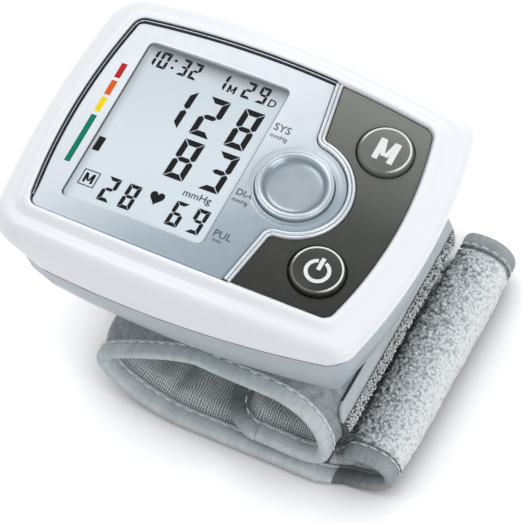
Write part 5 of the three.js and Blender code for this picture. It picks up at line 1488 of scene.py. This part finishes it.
def outer_depth(s, y):
    free = rim_rise(y, s)
    loose = 1 - seat_hold(s)
    lifted = smooth(path.station(s)[1], 0.4, 3.5)
    edge = from_edge(y, s)
    swell = 0.75 * loose * smooth(edge, TAPE, 16)
    ripple = puckers(s, y, 21) * 0.42 + 0.175 * fbm(s / 17.0, y / 13.0, 5)
    depth = 0.62 * (1 - free) - swell * lifted * free
    return depth - ripple * loose * lifted * smooth(edge, TAPE - 0.2, TAPE + 1.2)


def add_outer_cloth():
    s = even(CLOTH_EDGE, path.end("tailBase"), 0.55)
    inner = lambda a, y: np.where(a < path.start("tailBase"), 1.15, 1.6) + 0.35 * rim_rise(y, a)
    piece = cloth_piece("padded_outer_cloth", s, np.linspace(0, 1, 150), outer_depth, inner, outer_cloth)
    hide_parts("cuff_outer_fabric")


LINING_REACH = 2.6
LINING_START = 1.95


def lining_depth(s, y):
    """Depth of the soft inner face, with its folds."""
    free = rim_rise(y, s, LINING_REACH)
    base = LINING_START + (BAND_DEPTH - LINING_START) * free
    swell = 0.55 * smooth(from_edge(y, s), TAPE, 15) * (1 - 0.6 * seat_hold(s))
    heel = path.start("leftHeel")
    fold = heel + 20.4 + 0.18 * (y - 7) + 0.5 * fbm(y / 9.0, s * 0, 3)
    roll = 1.25 * smooth(s, fold - 6.5, fold - 1.6) * (1 - smooth(s, fold - 1.2, fold + 1.0))
    roll += 0.5 * bump(s, fold + 4.5, 1.8) - 0.8 * bump(s, fold + 0.9, 0.95)
    crease = 0.5 * bump(s, heel + 6.0 + 0.06 * y, 0.9)
    broad = 0.3 * fbm(s / 15.0, y / 12.0, 8)
    return base + free * (swell + broad + roll - crease) + puckers(s, y, 31) * 0.3


def add_lining():
    s = even(CLOTH_EDGE, path.end("ground"), 0.5)
    outer = lambda a, y: 1.45 + 2.1 * rim_rise(y, a, LINING_REACH)
    piece = cloth_piece("soft_lining", s, np.linspace(0, 1, 130), lining_depth, outer, lining_cloth)
    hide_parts("cuff_lining")


# A folded tape's two edges: how far in from the rim, and the depth of the crimped cloth there.
CRIMP = [(TAPE - 0.12, -0.14), (TAPE - 0.4, -0.12), (TAPE - 0.72, 0.05), (TAPE - 1.1, -0.10)]
CRIMP_BACK = [(TAPE - 1.1, 0.12), (TAPE - 0.72, -0.03), (TAPE - 0.4, 0.14), (TAPE - 0.12, 0.16), (TAPE, 0.0)]
TAPE_CLOTH = 0.45


def tape_rows(thick, bulge):
    """Rows of (in from the rim, depth) round a folded tape: outside face, then inside."""
    t, r = TAPE_CLOTH, thick / 2
    outside = [(TAPE, 0.02), *CRIMP, (r + 0.8, -0.22 - bulge), (r, -0.14 - bulge)]
    fold = QUARTER + np.arange(1, 12) / 12 * math.pi
    outside += ellipse(r, r, r + bulge * 0.5, -(r + 0.12 + bulge), fold).tolist()
    outside += [(r, thick + 0.14 + bulge), (r + 0.8, thick + 0.22 + bulge)]
    outside += [(x, thick + z) for x, z in CRIMP_BACK]
    inside_rows = [(TAPE, thick - t), (r + 0.4, thick - t + 0.05), (t + 0.25, r + 0.4), (t + 0.1, r)]
    inside_rows += [(t + 0.25, r - 0.4), (r + 0.4, t), (TAPE, t)]
    return np.vstack([spline(outside, 3 * len(outside)), inside_rows])


def tape_piece(name, s, side, look, thick_of, sink_of, seed, bulge=0.04, body=HOUSING):
    """Tape folded round one rim: side 1 at the front, -1 at the back."""
    rings = []
    for length in s:
        wave = fbm(length / 7.0, seed * 3.1, seed)
        rows = tape_rows(thick_of(length), bulge + 0.12 * wave)
        if not rings:
            v = lengths(rows + (0, sink_of(length)))
        wobble = 0.10 * fbm(length / 4.0, seed * 7.7, seed + 5)
        y = rows[:, 0] + wobble * (rows[:, 0] / TAPE)
        y = y if side > 0 else BAND_WIDTH - y
        rings.append(path.point(length, y, rows[:, 1] + sink_of(length)))
    return orient_outward(grid_piece(name, np.array(rings), look, u=s, v=v, body=body))


def over_top(length):
    """1 along the upper half of the loop, where the folded rim is thinner, 0 below."""
    start, end = path.start("rightSide"), path.end("leftShoulder")
    return float(smooth(length, start - 6, start + 10) * (1 - smooth(length, end - 8, end + 6)))


def loop_sink(length):
    return 0.22 + 0.38 * over_top(length)


def loop_thick(length):
    base = path.start("tailBase")
    return 2.5 - 0.98 * over_top(length) - 0.85 * float(smooth(length, base - 2, base + 3))


# Along a stitch: place from -1 to 1, and share of its full width.
STITCH_STATIONS = (
    *((-1.0, 0.15), (-0.86, 0.62), (-0.5, 0.95), (0.0, 1.0)),
    *((0.5, 0.95), (0.86, 0.62), (1.0, 0.15)),
)
STITCH_PITCH = 2.75
HALF_STEP = 0.4


class Stitches:
    """Collects stitches, each a flat capsule set into the cloth, into one piece."""

    def __init__(self):
        self.points, self.faces, self.uv = [], [], []

    def add(self, centre, along, up, length=1.75, width=0.42, height=0.34):
        start = len(self.points)
        side = unit(np.cross(up, along))
        for stop, size in STITCH_STATIONS:
            rise = height * (0.15 + 0.55 * size) - height * 0.35 * stop**4
            middle = centre + along * stop * length / 2 + up * rise
            for x, z in ellipse(0, 0, width / 2 * size, height * 0.6 * size, np.arange(7) / 6 * math.pi):
                self.points.append(middle + side * x + up * z)
        faces, corners = grid_faces(7, 7)
        self.faces += (faces[:, [0, 3, 2, 1]] + start).tolist()
        steps = corners.reshape(-1, 4, 2)[:, [0, 3, 2, 1]].reshape(-1, 2)
        self.uv += (steps * (length / 6 * MM, width / 4 * MM)).tolist()

    def piece(self, name, look, body=HOUSING):
        return mesh_piece(name, self.points, self.faces, look, uv=self.uv, body=body)


def stitch_line(stitches, s0, s1, inset, depth_of, side, seed, inward=False, pitch=STITCH_PITCH, **sizes):
    """Stitches along a rim. inward is for the inner face, whose up is towards the wrist."""
    count = int((s1 - s0) / pitch)
    for i in range(count):
        length = s0 + (i + 0.5) * (s1 - s0) / count
        y = inset + (rng_hash(i, side * 3.0, seed) - 0.5) * 0.18 * 0.6
        y = y if side > 0 else BAND_WIDTH - y
        a, b = (path.point(length + step, y, depth_of(length)) for step in (-HALF_STEP, HALF_STEP))
        normal = path.station(length)
        up = np.array([normal[2], 0.0, normal[3]]) * (1 if inward else -1)
        stitches.add((a + b) / 2, unit(b - a), up, **sizes)


def add_rim_tapes():
    s = even(END_ROUND + 0.1, path.end("tailBase") - 0.2, 0.7)
    for side, where in ((1, "front"), (-1, "back")):
        piece = tape_piece(f"rim_tape_{where}", s, side, satin_tape, loop_thick, loop_sink, 2 + side)
        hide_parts(f"cuff_{where}_binding")
    stitches = Stitches()
    a, b = END_ROUND + 0.6, path.start("tailBase") - 1.0
    for side in (1, -1):
        stitch_line(stitches, a, b, STITCH_ROW, lambda q: 0.02 + loop_sink(q), side, 4)
        stitch_line(stitches, a, b, STITCH_ROW, lambda q: loop_thick(q) + loop_sink(q), side, 6, True)
    add_end_stitches(stitches)
    stitches.piece("cuff_stitches", pale_thread)


def end_line():
    """The band's inner edge: round one corner, straight across, round the other."""
    straight = BAND_WIDTH - 2 * END_ROUND
    angles = np.arange(19) / 18 * QUARTER
    rows = [(math.sin(angle), -math.cos(angle), 0.0) for angle in angles]
    rows += [(1.0, 0.0, straight * i / 40) for i in range(1, 40)]
    return rows + [(math.cos(angle), math.sin(angle), straight) for angle in angles]


def end_point(row, inset, depth):
    out_x, out_y, shift = row
    radius = END_ROUND - inset
    x = loop_x(0.52) + END_ROUND - radius * out_x
    return np.array([x, BAND_NEAR + END_ROUND + shift + radius * out_y, OVERLAP_Z + depth])


def add_inner_end_tape():
    edge = end_line()
    u = lengths(np.array([end_point(row, 0, 0) for row in edge]))
    rings = []
    for row, length in zip(edge, u):
        section = tape_rows(2.3, 0.1 * fbm(length / 8.0, 2.2, 9))
        rings.append([end_point(row, inset, depth) for inset, depth in section])
    piece = grid_piece("inner_end_tape", np.array(rings), end_tape, u=u, v=lengths(section))
    orient_outward(piece)
    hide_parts("inner_end_binding")


def add_end_stitches(stitches):
    points = np.array([end_point(row, STITCH_ROW, 2.74) for row in end_line()])
    s = lengths(points)
    count = int(s[-1] / STITCH_PITCH)
    for i in range(count):
        t = (i + 0.5) * s[-1] / count
        a, b = (
            np.array([np.interp(t + step, s, column) for column in points.T])
            for step in (-HALF_STEP, HALF_STEP)
        )
        stitches.add((a + b) / 2, unit(b - a), np.array([0, 0, 1.0]))


# Tail.


def pile_height(s, y, seed):
    """Tangled loops: rounded lumps of two sizes, in loose rows."""
    coarse = value_noise(s / 0.80 + 0.35 * np.sin(y * 1.3), y / 0.62 + 0.35 * np.sin(s * 1.1), seed)
    fine = value_noise(s / 0.36, y / 0.36, seed + 3)
    fold = path.start("archLeft")
    near_fold = 0.55 + 0.45 * smooth(s, fold - 6, fold + 3)
    return (0.74 * coarse**1.4 + 0.26 * fine) * near_fold + 0.07 * value_noise(s / 4.5, y / 4.5, seed + 6)


def add_tail_pile():
    s0, s1 = path.start("tailBase") + 1.0, path.end("archLeft") - 0.1

    def shares(a, y):
        """Distance from the rim, freedom from the tape, and nearness to the end."""
        d = np.minimum(y, BAND_WIDTH - y)
        return d, smooth(d, TAPE - 0.3, TAPE + 1.4), smooth(a, s1 - 2.0, s1)

    def outer(a, y):
        d, free, end = shares(a, y)
        lift = smooth(path.station(a)[1], 0.25, 1.2)
        base = 0.55 * (1 - free) + 0.05 * free + 0.5 * end
        return base - (pile_height(a, y, 14) * 0.85 * free + 0.35 * smooth(d, TAPE, 13) * lift) * lift

    def inner(a, y):
        _, free, end = shares(a, y)
        return 1.5 + 0.35 * free + pile_height(a, y, 24) * 0.35 * free - 0.6 * end

    s, across = even(s0, s1, 0.22), np.linspace(0, 1, 290)
    piece = cloth_piece("tail_looped_pile", s, across, outer, inner, looped_pile, 2, body=None)
    blend_tail(piece)
    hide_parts("tail_flap")


def blend_tail(piece):
    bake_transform(piece)


# Shade, thread, distance from the rim, depth, seed, pitch, length and width.
TAIL_STITCHES = [
    ("pale", pale_thread, STITCH_ROW, 0.08, 5, 2.3, 1.9, 0.34),
    ("dark", dark_thread, TAPE - 0.15, 0.15, 8, 2.0, 2.1, 0.26),
]
TAIL_THICK, TAIL_SINK = 1.92, 0.08


def add_tail_tapes():
    a, b = path.start("tailTurn"), path.end("archLeft")
    s = even(a - 2.4, b - 0.4, 0.35)
    thick, sink = (lambda q: TAIL_THICK), (lambda q: TAIL_SINK)
    for side, where in ((1, "front"), (-1, "back")):
        piece = tape_piece(f"tail_tape_{where}", s, side, ribbed_tape, thick, sink, 12 + side, 0.05, None)
        blend_tail(piece)
        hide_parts(f"tail_{where}_binding")
    for shade, look, inset, depth, seed, pitch, length, width in TAIL_STITCHES:
        stitches = Stitches()
        for side in (1, -1):
            sizes = {"pitch": pitch, "length": length, "width": width}
            stitch_line(stitches, a, b - 0.8, inset, lambda q: depth, side, seed, **sizes)
        blend_tail(stitches.piece(f"tail_stitches_{shade}", look, body=None))


# Hook strip.

HOOK_NEAR, HOOK_FAR = 6.2, BAND_WIDTH - 1.8
HOOK_WIDE = HOOK_FAR - HOOK_NEAR
HOOK_ROWS = 7
HOOKS_IN_ROW = 96
HOOK_ROW_STEP = 0.66
HOOK_TAPE_SHARE = 0.36
HOOKS_LEFT_OUT = 0.22


def add_hook_tape():
    """A dark woven ground, and its plain pale selvedge."""
    a, b = path.knots["rightSide"]
    rows_end = a + HOOK_ROWS * HOOK_ROW_STEP - 0.35
    across = np.linspace(0, 1, 60)
    s = even(a - 1.9, a + (b - a) * HOOK_TAPE_SHARE, 0.4)
    grid = []
    for length in s:
        t = max((length - a) / (s[-1] - a) - 0.5, 0) / 0.5
        low = HOOK_NEAR + 2.6 * (1 - math.sqrt(max(0.0, 1 - t**2)))
        y = low + across * (HOOK_FAR - low)
        here = np.full_like(y, length)
        front = path.point(here, y, -1.05 - 0.12 * fbm(here / 6, y / 8, 3))
        grid.append(np.vstack([front, path.point(here, y, -0.30)[::-1]]))
    v = np.concatenate([across * HOOK_WIDE, HOOK_WIDE + 0.7 + across * HOOK_WIDE])
    piece = grid_piece("hook_tape", np.array(grid), hook_ground, u=s, v=v, caps=True)
    piece.data.materials.append(pale_tape)
    for polygon in piece.data.polygons:
        row = polygon.index // len(v)
        polygon.material_index = int(row < len(s) - 1 and s[row] > rows_end)
    orient_outward(piece)
    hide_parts("hook_strip")


def add_hooks():
    """Rows of small nylon hooks set in the tape."""
    a = path.start("rightSide")
    hooks = Stitches()
    for r in range(HOOK_ROWS):
        for i in range(HOOKS_IN_ROW):
            dice = [float(rng_hash(i, r * 7.0, k)) for k in range(4)]
            if dice[3] < HOOKS_LEFT_OUT:
                continue
            share = (i + 0.5 * (r % 2) + 0.5 * (dice[0] - 0.5)) / HOOKS_IN_ROW
            y = HOOK_NEAR + 0.7 + (HOOK_WIDE - 1.4) * share
            here = a + 0.4 + HOOK_ROW_STEP * (r + 0.4 * (dice[1] - 0.5))
            normal = path.station(here)
            out = -np.array([normal[2], 0, normal[3]])
            lean = (1 if (i + r) % 2 else -1) * (0.35 + 0.9 * dice[2])
            base = path.point(here, y, -1.12) + out * (0.05 + 0.15 * dice[1])
            size = 0.42 + 0.42 * dice[3]
            hooks.add(base, unit(np.array([0.0, lean, 0.75])), out, size, 0.21, 0.55 * size)
    hooks.piece("hook_rows", hook_nylon)


# Assembly.

add_upper_shell()
add_deck()
add_faceplate()
add_panel()
add_divider()
add_bezel()
add_medallion()
add_button("memory", BUTTON_Y, letter_m(BUTTON_X + 0.35, BUTTON_Y - 0.25, 4.5, 5.1, 1.22))
add_button("power", -BUTTON_Y, power_mark(BUTTON_X + 0.25, -BUTTON_Y - 0.45))
add_display()
add_face_prints()
add_outer_cloth()
add_lining()
add_rim_tapes()
add_inner_end_tape()
add_tail_pile()
add_tail_tapes()
add_hook_tape()
add_hooks()

# Floor, light and camera.

FLOOR_HALF = 6.0
FLOOR_REACH = 0.028
FLOOR_GLOW = 0.50
FLOOR_TONES = ((0.0, 0.10), (0.5, 0.48), (0.8, 0.86), (1.0, 1.0))


def add_floor():
    """A white floor that keeps the lamps' shadow, with a painted contact shadow from ambient occlusion, and
    loses its edge in the white background.
    """
    h = FLOOR_HALF
    mesh = bpy.data.meshes.new("studio_floor")
    mesh.from_pydata([(-h, -h, 0), (h, -h, 0), (h, h, 0), (-h, h, 0)], [], [(0, 1, 2, 3)])
    floor = linked("studio_floor", mesh)
    material = bpy.data.materials.new("studio_floor_white")
    m = Tree(material)
    # Ambient occlusion near the object: a painted contact shadow that darkens the floor's colour and glow.
    occlusion_shadow = m.node("AmbientOcclusion", {"Distance": FLOOR_REACH}, samples=12)["AO"]
    tone = m.ramp(occlusion_shadow, *((place, (level,) * 3) for place, level in FLOOR_TONES))
    diffuse = m.node("BsdfDiffuse", {0: m.mix(1.0, (0.80, 0.80, 0.80), tone, "MULTIPLY")})[0]
    rays = m.node("LightPath", {})
    seen = rays["Is Camera Ray"]
    for kind in ("Is Glossy Ray", "Is Transmission Ray"):
        seen = m.math("MAXIMUM", seen, rays[kind])
    glow = m.node("Emission", {0: tone, 1: m.math("MULTIPLY", seen, FLOOR_GLOW)})[0]
    m.node("OutputMaterial", {0: m.node("AddShader", {0: diffuse, 1: glow})[0]})
    mesh.materials.append(material)


WORLD_LIGHT = 0.63


def add_world():
    """Even pale light from all round, and plain white where it is looked at."""
    world = bpy.data.worlds.new("studio")
    bpy.context.scene.world = world
    m = Tree(world)
    light = m.node("Background", {0: (0.95, 0.97, 1.0), 1: WORLD_LIGHT})[0]
    seen = m.node("Background", {0: (1, 1, 1), 1: 1.0})[0]
    camera_ray = m.node("LightPath", {})["Is Camera Ray"]
    m.node("OutputWorld", {0: m.node("MixShader", {0: camera_ray, 1: light, 2: seen})[0]})


def add_lamp(name, spot, target, size, power, color=(1, 1, 1)):
    lamp = bpy.data.lights.new(name, "AREA")
    lamp.shape = "RECTANGLE"
    lamp.size, lamp.size_y = size
    lamp.energy, lamp.color = power, color
    holder = linked(name, lamp)
    holder.location = spot
    holder.rotation_euler = (Vector(target) - Vector(spot)).to_track_quat("-Z", "Y").to_euler()


PHOTO_WIDTH = 523.0
FOCAL_PIXELS = 6164.0
CAMERA_TURN, CAMERA_RISE = 26.5, 59.5
CAMERA_BACK, CAMERA_SCALE = 1541, 0.8
AIM_HEIGHT = 59.0
AIM_RIGHT, AIM_UP = 8.4, 18.7
SENSOR = 36.0


def add_camera():
    a, e = math.radians(CAMERA_TURN), math.radians(CAMERA_RISE)
    back = Vector((math.sin(a) * math.cos(e), -math.cos(a) * math.cos(e), math.sin(e)))
    right = Vector((math.cos(a), math.sin(a), 0))
    up = back.cross(right)
    aside = (right * AIM_RIGHT + up * AIM_UP) * CAMERA_SCALE
    centre = Vector((CROWN_X + SHIFT_X, SHIFT_Y, AIM_HEIGHT)) - aside
    camera = bpy.data.cameras.new("photo_camera")
    camera.sensor_fit = "AUTO"
    camera.sensor_width = SENSOR
    camera.lens = FOCAL_PIXELS / PHOTO_WIDTH * SENSOR
    camera.clip_start, camera.clip_end = 0.01, 50.0
    holder = linked("photo_camera", camera)
    turn = Matrix((right, up, back)).transposed().to_4x4()
    holder.matrix_world = Matrix.Translation((centre + back * CAMERA_BACK * CAMERA_SCALE) * MM) @ turn
    bpy.context.scene.camera = holder


add_floor()
add_world()
add_lamp("key_softbox", (-0.42, 0.03, 0.84), (0, 0, 0.04), (0.50, 0.50), 1.95)
add_lamp("rear_softbox", (-0.12, 0.80, 0.54), (0, 0, 0.03), (0.50, 0.40), 2.3)
add_lamp("right_fill", (0.86, -0.20, 0.52), (0, 0, 0.03), (0.6, 0.5), 2.9, (0.97, 0.985, 1.0))
add_camera()
bpy.context.scene.view_settings.view_transform = "Standard"
